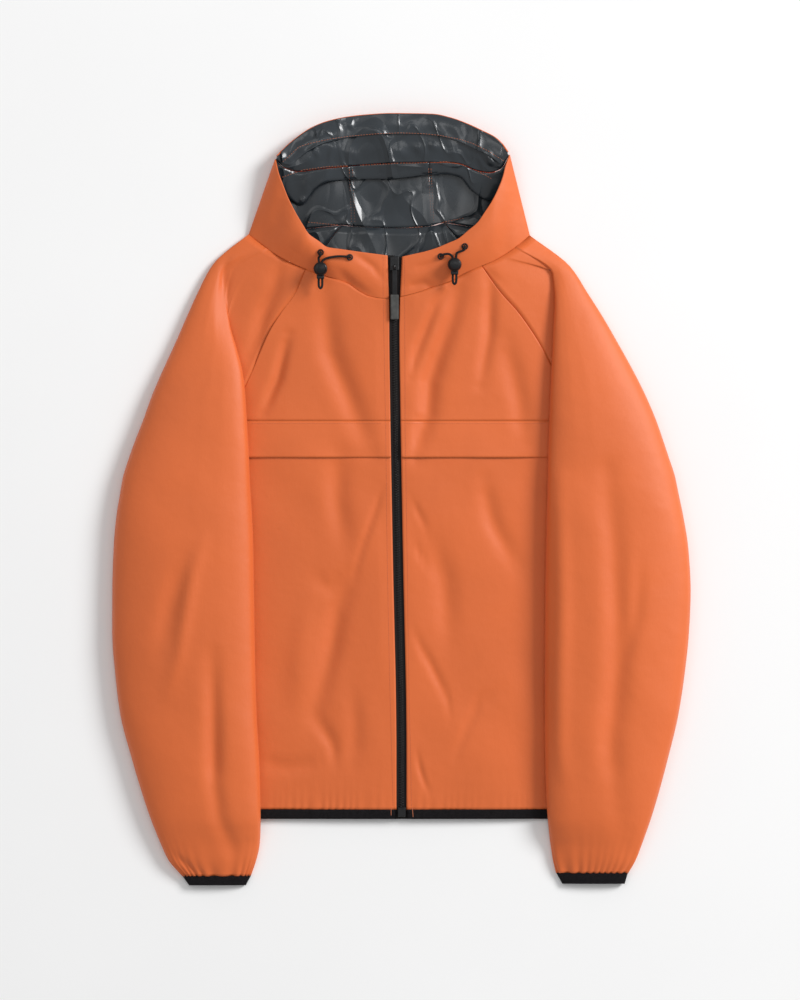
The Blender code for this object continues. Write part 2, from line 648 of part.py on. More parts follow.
def facing_grid(band):
    """The facing, which lies on the band along the rim."""
    rim, inner = band[-1, 1:-1], band[0, 1:-1]
    depth = np.linalg.norm(rim - inner, axis=1, keepdims=True)
    share = np.minimum(FACING / depth, 0.8)
    rows = []
    for part in (1.0, 0.5, 0.0):
        at = share * part
        point = mix(rim, inner, at)
        point[:, 2] += BAND_BULGE * np.sin(math.pi * (1 - at[:, 0])) + LAYER + FACING_ROOM
        rows.append(point)
    return np.array(rows)


def tape_grid(side, ys):
    """One side of the zip's tape, which runs under the front's edge."""
    rows = []
    for y in ys:
        reach = read(ZIP, "width", y) / 2 + TAPE_UNDERLAP
        x = zip_x(y) + side * np.array((GAP / 2, reach / 2, reach))
        rows.append(np.column_stack([x, np.full(3, y), front_height(x, y) - LAYER - TAPE_DROP]))
    return np.array(rows)


# Hard pieces


def tree_of(grid):
    """The grid's faces, to look up heights on."""
    rows, columns = grid.shape[:2]
    index = np.arange(rows * columns).reshape(rows, columns)
    quads = np.stack([index[:-1, :-1], index[:-1, 1:], index[1:, 1:], index[1:, :-1]], -1).reshape(-1, 4)
    return BVHTree.FromPolygons(grid.reshape(-1, 3).tolist(), quads.tolist())


def top_of(trees, x, y):
    """The highest point of the cloth at (x, y) and the way it faces there."""
    found = [tree.ray_cast(Vector((x, y, 200)), Vector((0, 0, -1))) for tree in trees]
    point, normal = max(((hit[0], hit[1]) for hit in found if hit[0]), key=lambda hit: hit[0].z)
    return point, normal if normal.z > 0 else -normal


def block(name, size, finish, bevel, segments=2):
    """A box about the origin with rounded edges."""
    mesh = bpy.data.meshes.new(name)
    shape = bmesh.new()
    bmesh.ops.create_cube(shape, size=1)
    bmesh.ops.scale(shape, vec=[side * MM for side in size], verts=shape.verts)
    bmesh.ops.bevel(
        shape, geom=shape.edges, offset=bevel * MM, segments=segments, affect="EDGES", profile=0.5
    )
    shape.to_mesh(mesh)
    shape.free()
    return place(name, mesh, finish)


def turned(name, profile, finish, sides):
    """A round piece about Z from (radius, height) points up its outside."""
    mesh = bpy.data.meshes.new(name)
    shape = bmesh.new()
    points = [shape.verts.new((r * MM, 0, z * MM)) for r, z in profile]
    edges = [shape.edges.new(pair) for pair in zip(points, points[1:])]
    bmesh.ops.spin(
        shape, geom=points + edges, axis=(0, 0, 1), cent=(0, 0, 0), angle=2 * math.pi, steps=sides
    )
    bmesh.ops.remove_doubles(shape, verts=shape.verts, dist=1e-6)
    bmesh.ops.recalc_face_normals(shape, faces=shape.faces)
    shape.to_mesh(mesh)
    shape.free()
    return place(name, mesh, finish)


def ring(name, radius, section, finish, sides, round_sides):
    """A ring about Z with a round section."""
    around = np.linspace(0, 2 * math.pi, round_sides + 1)
    profile = np.stack([radius + section * np.cos(around), section * np.sin(around)], 1)
    return turned(name, profile, finish, sides)


def combine(body, other, operation):
    """Joins other to body, or cuts it away, and keeps other out of the render."""
    step = body.modifiers.new(operation.title(), "BOOLEAN")
    step.operation = operation
    step.object = other
    other.hide_render = True
    other.display_type = "WIRE"
    other.parent = body


def cord(name, route, finish):
    """A round cord on a smooth curve through its route's points."""
    route = np.array(route, float)
    run = run_of(route)
    at = np.linspace(0, run[-1], int(run[-1] / (CORD * 1.2)) + 2)
    line = np.stack([smooth(run, route[:, axis], at) for axis in range(3)], 1)
    curve = bpy.data.curves.new(name, "CURVE")
    curve.dimensions = "3D"
    curve.bevel_depth = CORD / 2 * MM
    curve.bevel_resolution = 2
    curve.use_fill_caps = True
    spline = curve.splines.new("POLY")
    spline.points.add(len(line) - 1)
    for point, place_at in zip(spline.points, line):
        point.co = (*(place_at * MM), 1)
    curve.materials.append(finish)
    made = bpy.data.objects.new(name, curve)
    bpy.context.scene.collection.objects.link(made)
    return made


def zip_slider(finish):
    """The slider, with the arched bail that the pull hangs from."""
    centre_x, centre_y, base, width, length, height = SLIDER
    body = block("zip_slider", (width, length, height), finish, 1.0)
    body.location = (centre_x * MM, centre_y * MM, (base + height / 2) * MM)
    bail = ring("zip_bail_guide", BAIL_RADIUS, BAIL_SECTION, finish, 14, 8)
    bail.rotation_euler = (0, math.pi / 2, 0)
    bail.location = (Vector(HINGE) - Vector((centre_x, centre_y, base + height / 2))) * MM
    combine(body, bail, "UNION")
    return body


def zip_pull(metal, rubber):
    """The pull's link and its rubber tab, hung from the hinge on the slider."""
    hinge = bpy.data.objects.new("zip_pull_hinge", None)
    bpy.context.scene.collection.objects.link(hinge)
    hinge.location = [value * MM for value in HINGE]
    hinge.rotation_euler = (PULL_SLOPE, 0, 0)
    link = block("zip_pull_link", LINK, metal, 0.5)
    link.location = (0, (LINK_BEHIND - LINK[1] / 2) * MM, 0)
    eye = block("zip_pull_eye_guide", LINK_EYE, metal, 0.1, 1)
    eye.location = (0, ((LINK[1] - LINK_EYE[1]) / 2 - LINK_HEAD) * MM, 0)
    combine(link, eye, "DIFFERENCE")
    tab = block("zip_pull_tab", TAB, rubber, 1.2)
    tab.location = (0, (LINK_BEHIND - LINK[1] + POCKET - TAB[1] / 2) * MM, 0)
    pocket_size = (LINK[0] + 2 * GAP, 2 * (POCKET + GAP), LINK[2] + 2 * GAP)
    pocket = block("zip_pull_pocket_guide", pocket_size, rubber, 0.2, 1)
    pocket.location = (0, TAB[1] / 2 * MM, 0)
    combine(tab, pocket, "DIFFERENCE")
    link.parent = hinge
    tab.parent = hinge


def toggle(side, name, trees, finish):
    """A cord lock on the cloth, with a slot for both strands and a button; returns its place."""
    x, y = TOGGLE[side]
    under = []
    for angle in np.radians(range(0, 360, 30)):
        foot_x, foot_y = x + TOGGLE_FOOT * math.cos(angle), y + TOGGLE_FOOT * math.sin(angle)
        under.append(top_of(trees, foot_x, foot_y)[0].z)
    base = max(under) + CLOTH / 2 + GAP
    body = turned(f"toggle_body_{name}", TOGGLE_BODY, finish, 20)
    body.location = (x * MM, y * MM, base * MM)
    spout = block(f"toggle_spout_guide_{name}", TOGGLE_SPOUT, finish, 1.0)
    spout.location = (0, -TOGGLE_SPOUT[1] * MM, (STRAND_Z + 0.2) * MM)
    combine(body, spout, "UNION")
    slot = block(f"toggle_slot_guide_{name}", TOGGLE_SLOT, finish, 1.2)
    slot.location = (0, 0, STRAND_Z * MM)
    combine(body, slot, "DIFFERENCE")
    button = turned(f"toggle_button_{name}", TOGGLE_BUTTON, finish, 20)
    button.location = (x * MM, y * MM, base * MM)
    return x, y, base


def eyelet(name, trees, place_at, finish):
    """An eyelet lying on the cloth; its middle and the way it faces are returned."""
    point, normal = top_of(trees, *place_at)
    made = ring(name, EYELET_RADIUS, EYELET_SECTION, finish, 14, 6)
    made.location = (point + normal * EYELET_RISE) * MM
    made.rotation_euler = normal.to_track_quat("Z", "Y").to_euler()
    return np.array(point), np.array(normal)


def drawcord(name, ends, lock, side, finish):
    """The cord out of one eyelet, through the toggle, round its loop and back to the other."""
    (far, far_up), (near, near_up) = ends
    centre = np.array(lock) + (0, 0, STRAND_Z)
    out, back = side * STRAND, -side * STRAND
    route = [far + far_up * 1.2, far + far_up * 5.0, far + far_up * 6.2 - (0, 3.0, 0)]
    through = ((out * 1.2, 13.0, 0.4), (out, 8.0, 0), (out, -8.0, 0), (out * 1.15, -15.0, -0.6))
    through += ((out, -20.6, -1.0), (0, -23.2, -1.2), (back, -20.6, -1.0), (back * 1.15, -15.0, -0.6))
    through += ((back, -8.0, 0), (back, 8.0, 0), (back * 1.6, 12.5, 0.6))
    route += [centre + step for step in through]
    route += [mix(route[-1], near + near_up * 4.8, 0.6), near + near_up * 4.4, near + near_up * 1.2]
    cord(name, route, finish)


def build():
    for old in list(bpy.data.objects):
        bpy.data.objects.remove(old)
    shell = material("coated_shell", (0.70, 0.168, 0.058), 0.6)
    coating = material("coated_inside", (0.035, 0.04, 0.045), 0.3)
    elastic = material("elastic_binding", (0.012, 0.011, 0.012), 0.8)
    tape = material("zip_tape", (0.014, 0.012, 0.012), 0.6)
    plastic = material("black_plastic", (0.012, 0.012, 0.013), 0.35)
    metal = material("black_metal", (0.03, 0.03, 0.03), 0.3, 0.8)
    rubber = material("grey_rubber", (0.07, 0.07, 0.065), 0.6)
    braid = material("cord_braid", (0.014, 0.013, 0.014), 0.75)
    all_round = ("first", "last", "start", "end")
    back = back_grid(FRONT_COLUMNS)
    cloth("back_body", seamed(back, all_round), shell)
    fronts, hood_tops = {}, {}
    for (side, name), seam_x in zip(SIDES, CROWN_SEAMS):
        cap, low = cap_ys(side), lower_ys()
        sleeve = sleeve_grid(side, np.concatenate([cap, low[1:4]]), arm_ys(side), SLEEVE_STEPS)
        for panel, half in (("front", sleeve[:, : SLEEVE_EDGE + 1]), ("back", sleeve[:, SLEEVE_EDGE:])):
            half_wall = seamed(seamed(half, ("first", "last")), ("start", "end"), EDGE_INSET)
            cloth(f"sleeve_{panel}_{name}", half_wall, shell)
        cloth(f"cuff_{name}", seamed(cuff_grid(side, sleeve), ("first",)), elastic, closed=True)
        zip_ys = np.linspace(FRONT_NECK[side]["y"][0], YOKE_Y, len(cap))
        upper = front_rows(side, cap, zip_ys, FRONT_COLUMNS)
        cloth(f"front_upper_{name}", seamed(upper, all_round), shell)
        fronts[side] = front_rows(side, low, low, FRONT_COLUMNS)
        cloth(f"front_lower_{name}", seamed(fronts[side], all_round), shell)
        flap = front_rows(side, low[:3], low[:3], FRONT_COLUMNS, LAYER)
        cloth(f"vent_flap_{name}", seamed(flap, all_round), shell)
        wing_foot, back_foot = hood_feet(side, upper[0], sleeve[0], back[-1], seam_x)
        hood = hood_side(side, wing_foot, back_foot, HOOD_STEPS)
        hood_wall = seamed(seamed(hood, ("first", "last")), ("start", "end"), GAP)
        cloth(f"hood_side_{name}", hood_wall, shell)
        behind = len(back_foot)
        hood_tops[side] = hood[-behind:, -1] if side == LEFT else hood[:behind, -1]
        hood_ys = hood[0 if side == LEFT else -1][::-1, 1]
        ys = np.concatenate([hood_ys, zip_ys[1:], low[1:], [HEM_Y - BINDING]])
        cloth(f"zip_tape_{name}", tape_grid(side, ys)[::side], tape)
        trees = [tree_of(grid) for grid in (hood, upper, sleeve)]
        ends = [eyelet(f"eyelet_{name}_{k}", trees, at, metal) for k, at in enumerate(EYELETS[side], 1)]
        lock = toggle(side, name, trees, plastic)
        drawcord(f"cord_{name}", ends, lock, side, braid)
    cloth("hem_binding", seamed(hem_grid(fronts, back), ("first", "start", "end")), elastic)
    centre = hood_centre(back[-1], 5, HOOD_STEPS)
    cloth("hood_centre", seamed(centre, all_round), shell)
    seam = np.concatenate([hood_tops[LEFT], centre[1:-1, -1], hood_tops[RIGHT]])
    at = [np.linspace(0, CROWN_AT[0], len(hood_tops[LEFT])), np.linspace(*CROWN_AT, 5)[1:-1]]
    at.append(np.linspace(CROWN_AT[1], 1, len(hood_tops[RIGHT])))
    band = band_grid(seam, np.concatenate(at), 3)
    band_wall = seamed(seamed(seamed(band, ("last",)), ("first",), BAND_INSET), ("start", "end"), BAND_END)
    cloth("hood_band", band_wall, shell)
    cloth("hood_facing", seamed(facing_grid(band), all_round), coating)
    zip_slider(metal)
    zip_pull(metal, rubber)
    stop_x, stop_y, stop_z, *stop_size = ZIP_STOP
    stop = block("zip_bottom_stop", stop_size, metal, 0.8)
    stop.location = (stop_x * MM, stop_y * MM, stop_z * MM)


build()
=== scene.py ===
"""The finished look of a hooded rain jacket of coated cloth, laid out flat and face up.

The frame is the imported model's, in metres: X to the wearer's left, Y from hem to hood, Z up.
Lengths in the tables are millimetres. The cloth is cut from the same sections as the model's
solids, then divided finer, folded and gathered, and given its two faces.
"""

import math

import bpy
import numpy as np
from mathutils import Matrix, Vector, geometry
from mathutils.bvhtree import BVHTree


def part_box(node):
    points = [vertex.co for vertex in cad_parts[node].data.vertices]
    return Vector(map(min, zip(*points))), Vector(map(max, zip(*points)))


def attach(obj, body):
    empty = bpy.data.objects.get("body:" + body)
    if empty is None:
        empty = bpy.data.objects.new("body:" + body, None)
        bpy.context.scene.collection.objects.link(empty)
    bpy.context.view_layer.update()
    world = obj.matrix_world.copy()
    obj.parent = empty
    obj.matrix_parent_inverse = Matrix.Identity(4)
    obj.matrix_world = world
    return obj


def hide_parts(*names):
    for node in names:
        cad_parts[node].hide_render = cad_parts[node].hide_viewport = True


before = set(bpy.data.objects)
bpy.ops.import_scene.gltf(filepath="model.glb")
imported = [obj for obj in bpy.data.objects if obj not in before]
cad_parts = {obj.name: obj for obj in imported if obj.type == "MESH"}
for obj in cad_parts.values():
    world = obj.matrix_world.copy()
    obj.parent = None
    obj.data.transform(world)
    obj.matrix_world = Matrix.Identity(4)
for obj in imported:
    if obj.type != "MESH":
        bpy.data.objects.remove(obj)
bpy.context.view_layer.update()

MM = 0.001

# Driving dimensions, in millimetres
CLOTH = 1.2  # thickness of the coated cloth, with its tape and coating
GAP = 0.3  # clearance between pieces at a seam and between layers
HEM_Y = -372.6  # where the fronts and the back end and the binding starts
BINDING = 11.5  # width of the black binding round the hem and the cuffs
YOKE_Y = 94.2  # the seam across the chest that holds the vent flap
FLAP_DEPTH = 44.0  # how far the vent flap hangs below that seam
UNDERARM_Y = 27.8  # where the raglan seams end and the side seams start
TAPE_UNDERLAP = 6.0  # how far the zip's tape runs under each front
FACING = 25.0  # depth of the facing inside the hood's rim
CORD = 2.8  # diameter of the drawcord
SLEEVE_LIFT = 3.8  # from the middle of the front to the middle of the sleeve lying on it
TURN = 1.9  # radius of a hidden fold, to the middle of the cloth
BAND_INSET = 0.6  # how far the band stops short of the crown's edge
BAND_END = 1.2  # how far it stops short of the corners beside the face
WING_BULGE = 5.0  # how far a wing of the hood rounds up between its edges
BAND_BULGE = 3.0  # how far the hood's front band rounds up between its edges
TAPE_DROP = 0.3  # extra room between a front and the zip's tape
FACING_ROOM = 0.8  # extra room between the band and the facing on it
REST_START = 26.0  # how far past the hem's binding a sleeve has come down to the floor
REST_RUN = 20.0  # over what length it comes down
PLACKET = 9.0  # how far from the zip's middle a front lies still
FRONT_CALM = 215.0  # how far out the folds of a front reach
HEM_GATHER_REACH = 11.0  # how far the hem's gathers run into the cloth
CUFF_GATHER_REACH = 16.0
CUFF_PLEATS = 26  # round the end of a sleeve
TAPE_HEIGHT = 0.35  # how far the hood's seam tapes stand off the cloth
STITCH_ARCH = (-0.15, 0.22, -0.15)  # a stitch's start, middle and end above the cloth
TOOTH_PITCH = 1.5
RIM_ROLL = 0.95  # radius of the rolled edge of the hood's rim
CORD_STEP = 1.2  # between the points of a drawcord's curve

FLOOR = CLOTH / 2  # height of the middle of cloth that rests on the surface
LAYER = CLOTH + GAP  # from the middle of one layer to the next one above it
LEFT, RIGHT = -1, 1  # sides of the picture; the wearer's own left is at +X
SIDES = ((LEFT, "left"), (RIGHT, "right"))
UP, DOWN = (0, 0, 1), (0, 0, -1)
ABOVE = 200.0  # a height clear of the whole jacket, to look down from
TINY = 1e-9
ALL_ROUND = ("first", "last", "start", "end")  # the edges of a grid

# The picture, in metres
PICTURE_HEIGHT = 1.2  # of the floor from the picture's top to its bottom
PICTURE_MIDDLE = (-0.0018, -0.0006)
CLOTH_TOP = 0.02  # height of the cloth that the picture's scale is right for
CAMERA_HEIGHT = 6.0


def table(names, *rows):
    """The columns of a small table, by name."""
    return dict(zip(names.split(), np.array(rows, float).T))


# The middle of the zip, and how high the front stands there
ZIP = table(
    "y x width height",
    (HEM_Y - BINDING, 0, 12.2, 8),
    (HEM_Y, 0, 12.2, 9),
    (-300, 0, 12.2, 13),
    (-72, -4.2, 12.2, 17),
    (120, -7.6, 12.2, 19),
    (204, -8.6, 12.2, 21),
    (241, -8.4, 13, 22.5),
    (293, -8.2, 17, 25),
)
SIDE_SEAM = ((HEM_Y, 244.2), (-180, 259.4), (UNDERARM_Y, 275.4))  # how far out it is at each y
# Outer edge of each front, out from the middle: the raglan seam, then the side seam
FRONT_EDGE = {
    LEFT: table(
        "y x",
        *SIDE_SEAM, (60, 244), (94.2, 215), (137.4, 187.1), (166.2, 174.6), (203.4, 157.8),
        (237, 135.6), (258, 121), (276.6, 114.5),
    ),
    RIGHT: table(
        "y x",
        *SIDE_SEAM, (60, 246), (94.2, 219), (137.4, 192), (167.4, 177), (203.4, 155.4), (235.8, 130.9),
        (262.2, 106.2), (280.2, 96),
    ),
}
# Outer edge of the back: the same side seam, then its own raglan seam up to the nape
BACK_EDGE = {
    LEFT: table(
        "y x",
        *SIDE_SEAM, (94.2, 234), (166, 190), (235, 145), (290, 104), (330.1, 72.6),
    ),
    RIGHT: table(
        "y x",
        *SIDE_SEAM, (94.2, 232), (166, 184), (235, 134), (290, 88), (333, 51),
    ),
}
# Where the front has come down to the back, out from the middle
FLAT_EDGE = {
    LEFT: table("y x", (HEM_Y, 244.2), (UNDERARM_Y, 275.4), (299.4, 213.6), (318.6, 186)),
    RIGHT: table("y x", (HEM_Y, 244.2), (UNDERARM_Y, 275.4), (299.4, 190), (318.6, 157)),
}
# The neck seam of each front from the zip to the raglan seam
FRONT_NECK = {
    LEFT: table(
        "x y", (16.2, 240.8), (34.2, 242.4), (52.9, 250.8), (68.3, 261), (90.6, 268.2), (114.5, 276.6)
    ),
    RIGHT: table(
        "x y", (5.9, 243), (24.6, 248), (42.6, 255), (59.4, 261), (78.6, 272.3), (96, 280.2)
    ),
}
# A sleeve, a row for each section from the neck to the cuff: its front seam, the hidden
# turn, the inner fold lying on the front, the outer edge, the back seam, how high it
# stands, how crisp its inner fold is, and the radius of its outer edge
SLEEVE_COLUMNS = "y_seam turn fold outer y_outer y_back crown crisp edge"
SLEEVE = {
    LEFT: table(
        SLEEVE_COLUMNS,
        (276.6, 140, 162, 183.5, 318.6, 330.1, 0, 0, 3),
        (258, 172, 194, 213.6, 299.4, 308, 2, 0, 4),
        (237, 196, 212, 237, 263.4, 272, 6, 0.1, 5),
        (203.4, 212, 207, 258, 219, 222, 11, 0.5, 6),
        (166.2, 228, 194, 280.2, 168, 170, 15.5, 0.9, 7),
        (137.4, 240, 189, 294.6, 137.4, 137.4, 18.5, 1, 8),
        (94.2, 252, 186, 310.4, 94.2, 94.2, 21, 1, 9),
        (60, 264, 184, 323.6, 60, 60, 23, 1, 9),
        (UNDERARM_Y, 282, 182.6, 334, UNDERARM_Y, UNDERARM_Y, 24.5, 1, 9),
    ),
    RIGHT: table(
        SLEEVE_COLUMNS,
        (280.2, 120, 138, 154, 317.4, 333, 0, 0, 3),
        (262, 160, 172, 186.6, 299.4, 310, 2, 0.3, 4),
        (237, 198, 185, 213, 263.4, 270, 7, 0.9, 5),
        (203.4, 213, 183, 243, 217, 220, 12, 1, 6),
        (166.2, 228, 181, 270.6, 168, 170, 16.5, 1, 7),
        (137.4, 239, 179.5, 287, 137.4, 137.4, 19, 1, 8),
        (94.2, 252, 177.8, 305.9, 94.2, 94.2, 22, 1, 9),
        (60, 264, 176.5, 317.6, 60, 60, 24, 1, 9),
        (UNDERARM_Y, 282, 175.9, 328.2, UNDERARM_Y, UNDERARM_Y, 25, 1, 9),
    ),
}
ARM_COLUMNS = "y under turn fold outer crown edge"
ARM = {
    LEFT: table(
        ARM_COLUMNS,
        (-452.4, 223, 214, 181.8, 263, 5.5, 5),
        (-432.6, 232, 222, 175, 280.2, 11, 7),
        (-408.6, 241, 231, 170.5, 291, 15, 8),
        (-384.6, 249, 246, 169.8, 300.6, 17, 9),
        (-336.6, 254.5, 250.5, 170.4, 316.2, 20.5, 9),
        (-240.6, 262, 258, 175.1, 340.2, 24.5, 9),
        (-144.6, 269.5, 265.5, 177, 347.4, 26.5, 9),
        (-46.2, 277.5, 273.5, 178.6, 345, 26.5, 9),
        (12, 283, 279, 181.8, 337, 25, 9),
    ),
    RIGHT: table(
        ARM_COLUMNS,
        (-448.8, 230, 220, 186.8, 271.8, 5.5, 5),
        (-432.6, 234, 225, 182.6, 281.5, 9.5, 7),
        (-408.6, 241, 231, 179, 290.5, 14.5, 8),
        (-384.6, 249, 246, 176.3, 299, 17, 9),
        (-336.6, 254.5, 250.5, 173.6, 313, 21, 9),
        (-240.6, 262, 258, 172.4, 335.4, 25, 9),
        (-144.6, 269.5, 265.5, 172.8, 345.9, 27, 9),
        (-96.6, 273, 269, 173.2, 347.2, 27, 9),
        (-46.2, 277.5, 273.5, 174, 342.6, 27, 9),
        (12, 283, 279, 175.6, 331.5, 26, 9),
    ),
}
# The nape seam, from the left raglan seam to the right one
NAPE = table("x y", (-72.6, 330.1), (-58.2, 328.6), (-1.8, 326.6), (36, 329.2), (51, 333))
CROWN_SEAMS = (-58.2, 36)  # where the crown seams meet the nape seam
# The opening edge of the hood from the zip to the corner beside the face
OPENING = {
    LEFT: table(
        "x y z",
        (16.6, 292.9, 25), (49.1, 297, 28), (88.9, 302.5, 31), (111, 318.1, 33), (124.9, 340.2, 34),
        (137.9, 365.9, 32), (148.2, 395, 26), (150.4, 411, 20),
    ),
    RIGHT: table(
        "x y z",
        (0.5, 291.4, 25), (36.6, 299.4, 28), (67.1, 312, 31), (90.6, 331.1, 33), (107, 355, 34),
        (119.5, 380, 31), (125.5, 403, 25), (128.3, 416, 20),
    ),
}
# The back of the hood from one side fold to the other, a row for each line across it:
# the hidden turn, the fold that hangs over the crown, the seam of the front band and the
# rim, as x and y, then how far the overhanging fold is closed, and the band's heights
HOOD_COLUMNS = "s turn_x turn_y fold_x fold_y band_x band_y rim_x rim_y closed band_z rim_z"
HOOD = table(
    HOOD_COLUMNS,
    (0, -167, 366, -158, 390, -151.2, 409, -150.4, 411, 0, 19, 20),
    (0.1, -158, 378, -138, 360, -138, 397, -141, 421, 0.6, 13, 19),
    (0.2, -138, 404, -121, 354, -122, 394, -126, 434, 1, 12, 17),
    (0.3, -108, 428, -96, 381, -98, 397, -100, 450, 1, 12, 16),
    (0.4, -68, 440, -63, 385.5, -63, 400.5, -66, 459, 1, 12, 15),
    (0.5, -15, 445, -15, 386, -15, 404, -12, 463.4, 1, 12, 15),
    (0.6, 33, 441, 33, 391, 33, 405, 38, 462.5, 1, 12, 15),
    (0.7, 66, 431, 62, 392, 62, 405, 68, 455, 1, 12, 16),
    (0.8, 98, 408, 85, 372, 88, 396, 97, 442.5, 1, 12, 17),
    (0.9, 128, 384, 112, 352, 112, 392, 117, 431, 0.6, 13, 19),
    (1, 142, 366, 136, 392, 129.5, 414, 128.3, 416, 0, 19, 20),
)
CROWN_AT = (0.4, 0.6)  # rows of that table on the two crown seams
# The elastic cuffs: centre of the mouth, and the width at the seam and at the mouth
CUFF = {
    LEFT: table("y inner outer height", (-452.4, 181.8, 263, 11), (-463.8, 187.8, 255, 10)),
    RIGHT: table("y inner outer height", (-448.8, 186.8, 271.8, 11), (-462, 194, 268, 10)),
}
# The drawcord's eyelets on each wing, the far one first
EYELETS = {LEFT: ((-96.8, 296), (-62.2, 290)), RIGHT: ((75.8, 303), (47.2, 291))}
TOGGLE = {LEFT: (-97, 276), RIGHT: (63.5, 281)}
STRAND = 1.9  # from the middle of a toggle to either strand of its cord
STRAND_Z = 4.0  # height of the strands in the toggle

# Folds of the cloth, each as its height, its width and the line it follows
FRONT_FOLDS = (
    (-7.2, 11.2, (73, 269), (60, 218), (43, 170), (34, 142), (32, 103), (15, 51)),
    (-4.3, 6.9, (56, 257), (40, 232), (21, 184), (8, 147)),
    (-4.3, 7.7, (104, 280), (107, 255), (105, 199), (101, 176), (94, 137)),
    (-3.6, 12, (125, 190), (142, 119), (147, 71)),
    (-3.6, 10.3, (99, 23), (109, -27), (127, -61), (142, -82)),
    (-2.3, 3, (10, -1), (17, -10), (32, -37)),
    (-2.3, 3, (8, -50), (19, -61), (31, -76)),
    (-2.9, 4.3, (9, -154), (34, -196), (55, -238), (58, -255)),
    (-2.2, 3.4, (17, -301), (22, -325), (32, -351)),
    (-4.3, 13.8, (39, -55), (52, -97), (56, -171)),
    (-2.2, 5.2, (122, -229), (94, -243), (77, -277), (64, -309)),
    (-5.8, 13.8, (-93, 255), (-85, 176), (-59, 113), (-37, 57)),
    (-5.1, 6.9, (-136, 197), (-149, 145), (-166, 105)),
    (-5.1, 13.8, (-76, 53), (-77, -1), (-68, -55)),
    (-2.9, 3.4, (-21, 14), (-37, -28), (-47, -56), (-58, -91)),
    (-6, 12, (-58, -91), (-76, -133), (-86, -187), (-106, -259)),
    (2.4, 14, (-111, -121), (-122, -193), (-127, -259)),
    (-3.4, 7.5, (-106, -257), (-95, -274), (-82, -295), (-81, -319)),
    (-2.8, 11, (-59, -229), (-55, -277), (-59, -319)),
    (-2.6, 9, (-167, -317), (-134, -322), (-100, -315)),
    (-2.6, 6.9, (-107, -94), (-86, -106), (-68, -91)),
)
SLEEVE_FOLDS = (
    (-3.6, 6, (95.2, 279.4), (104, 270), (118, 256)),
    (-7.2, 7.7, (-146, 285), (-152, 253), (-165, 226), (-173, 197), (-183, 172)),
    (-4.3, 4.3, (-211, 291), (-214, 269), (-213, 251)),
    (3.6, 7.7, (-236, -49), (-250, -89), (-265, -182), (-280, -229)),
    (-4.3, 12, (-260, -73), (-275, -121), (-290, -181)),
    (-7.2, 9.5, (-226, -187), (-225, -265), (-225, -337), (-219, -382), (-196, -440)),
    (-3.6, 4.3, (-271, -427), (-260, -437), (-245, -451)),
    (-6.5, 13.8, (245, 35), (254, -49), (259, -145), (257, -229), (250, -289), (257, -365), (271, -421)),
    (-2.9, 8.6, (286, -73), (281, -145), (262, -205)),
    (4.3, 10.3, (190, 23), (193, -121), (190, -289), (197, -361)),
)
WING_FOLDS = (
    (-2.4, 6, (-78.6, 276.6), (-57, 257.4), (-37, 243)),
    (-1.8, 5, (-57, 294.6), (-34.6, 279.4), (-22.3, 262.2)),
    (-2.2, 5, (7, 255), (26.6, 259.8), (41.4, 252.6)),
    (-1.6, 5, (14, 276), (31, 281), (44, 287)),
    (-3, 14, (-175, 300), (-150, 330), (-139, 362)),
    (-2.6, 12, (120, 290), (128, 330), (132, 372)),
    (1.8, 8, (-128, 296), (-112, 318), (-104, 330)),
)
HOOD_CREASE = (2, 4)  # height and width of every fold inside the hood
HOOD_FOLDS = (
    ((-80, 430), (-86, 407), (-93, 383)), ((-102, 435), (-122, 423), (-133, 409), (-140, 369)),
    ((-109, 391), (-115, 379), (-121, 367)), ((8, 428), (17, 422), (29, 413)),
    ((37, 451), (44, 443), (52, 435)), ((33, 429), (43, 420)), ((58, 434), (63, 415), (69, 394)),
    ((103, 419), (109, 400)), ((50, 386), (55, 367)), ((52, 348), (61, 356), (79, 356)),
    ((-7, 422), (5, 411)), ((21, 428), (22, 417)), ((-68, 458), (-59, 446)), ((-59, 419), (-50, 401)),
    ((-122, 364), (-110, 351)),
)
SEAM_TAPES = (((-61, 392), (-58, 332)), ((34, 394), (37.5, 333)))  # over the crown's seams
TAPE_WIDTH = 21.0
# Lines of stitching, seen from above
HOOD_STITCHES = (
    ((-148, 400), (-123, 423), (-108, 428), (-83, 433), (-63, 436), (-28, 439), (-2, 440)),
    ((-2, 440), (26, 439), (46, 437), (71, 432), (86, 427), (104, 418), (123, 406)),
    ((-144, 387), (-118, 396), (-88, 400), (-63, 401), (-38, 402), (-2, 404)),
    ((-2, 404), (16, 404), (53, 406), (68, 404), (86, 397), (100, 390), (109, 385)),
    ((-62.8, 397), (-60, 330)),
    ((-58.8, 397), (-56, 330)),
    ((32.5, 398), (36, 331)),
    ((35.5, 398), (39, 331)),
    ((-113, 334), (-73, 330), (-58, 328), (-2, 326.5), (36, 329), (51, 334), (76, 339)),
)
FRONT_STITCHES = (
    ((-22, 291), (-22, 255), (-21, 200), (-19, 95), (-17, -73), (-14.5, -200), (-11, -330), (-10, -371)),
    ((4, 288), (4, 235), (4.5, 95), (7, -73), (8.5, -200), (11.5, -330), (12, -371)),
    ((-180, 91.5), (-100, 91.5), (-22, 91.5)),
    ((6, 91.5), (90, 91.5), (176, 91.5)),
)
BAR_TACKS = (((-12.5, -371), (-12.5, -380)), ((13, -371), (14, -382)))

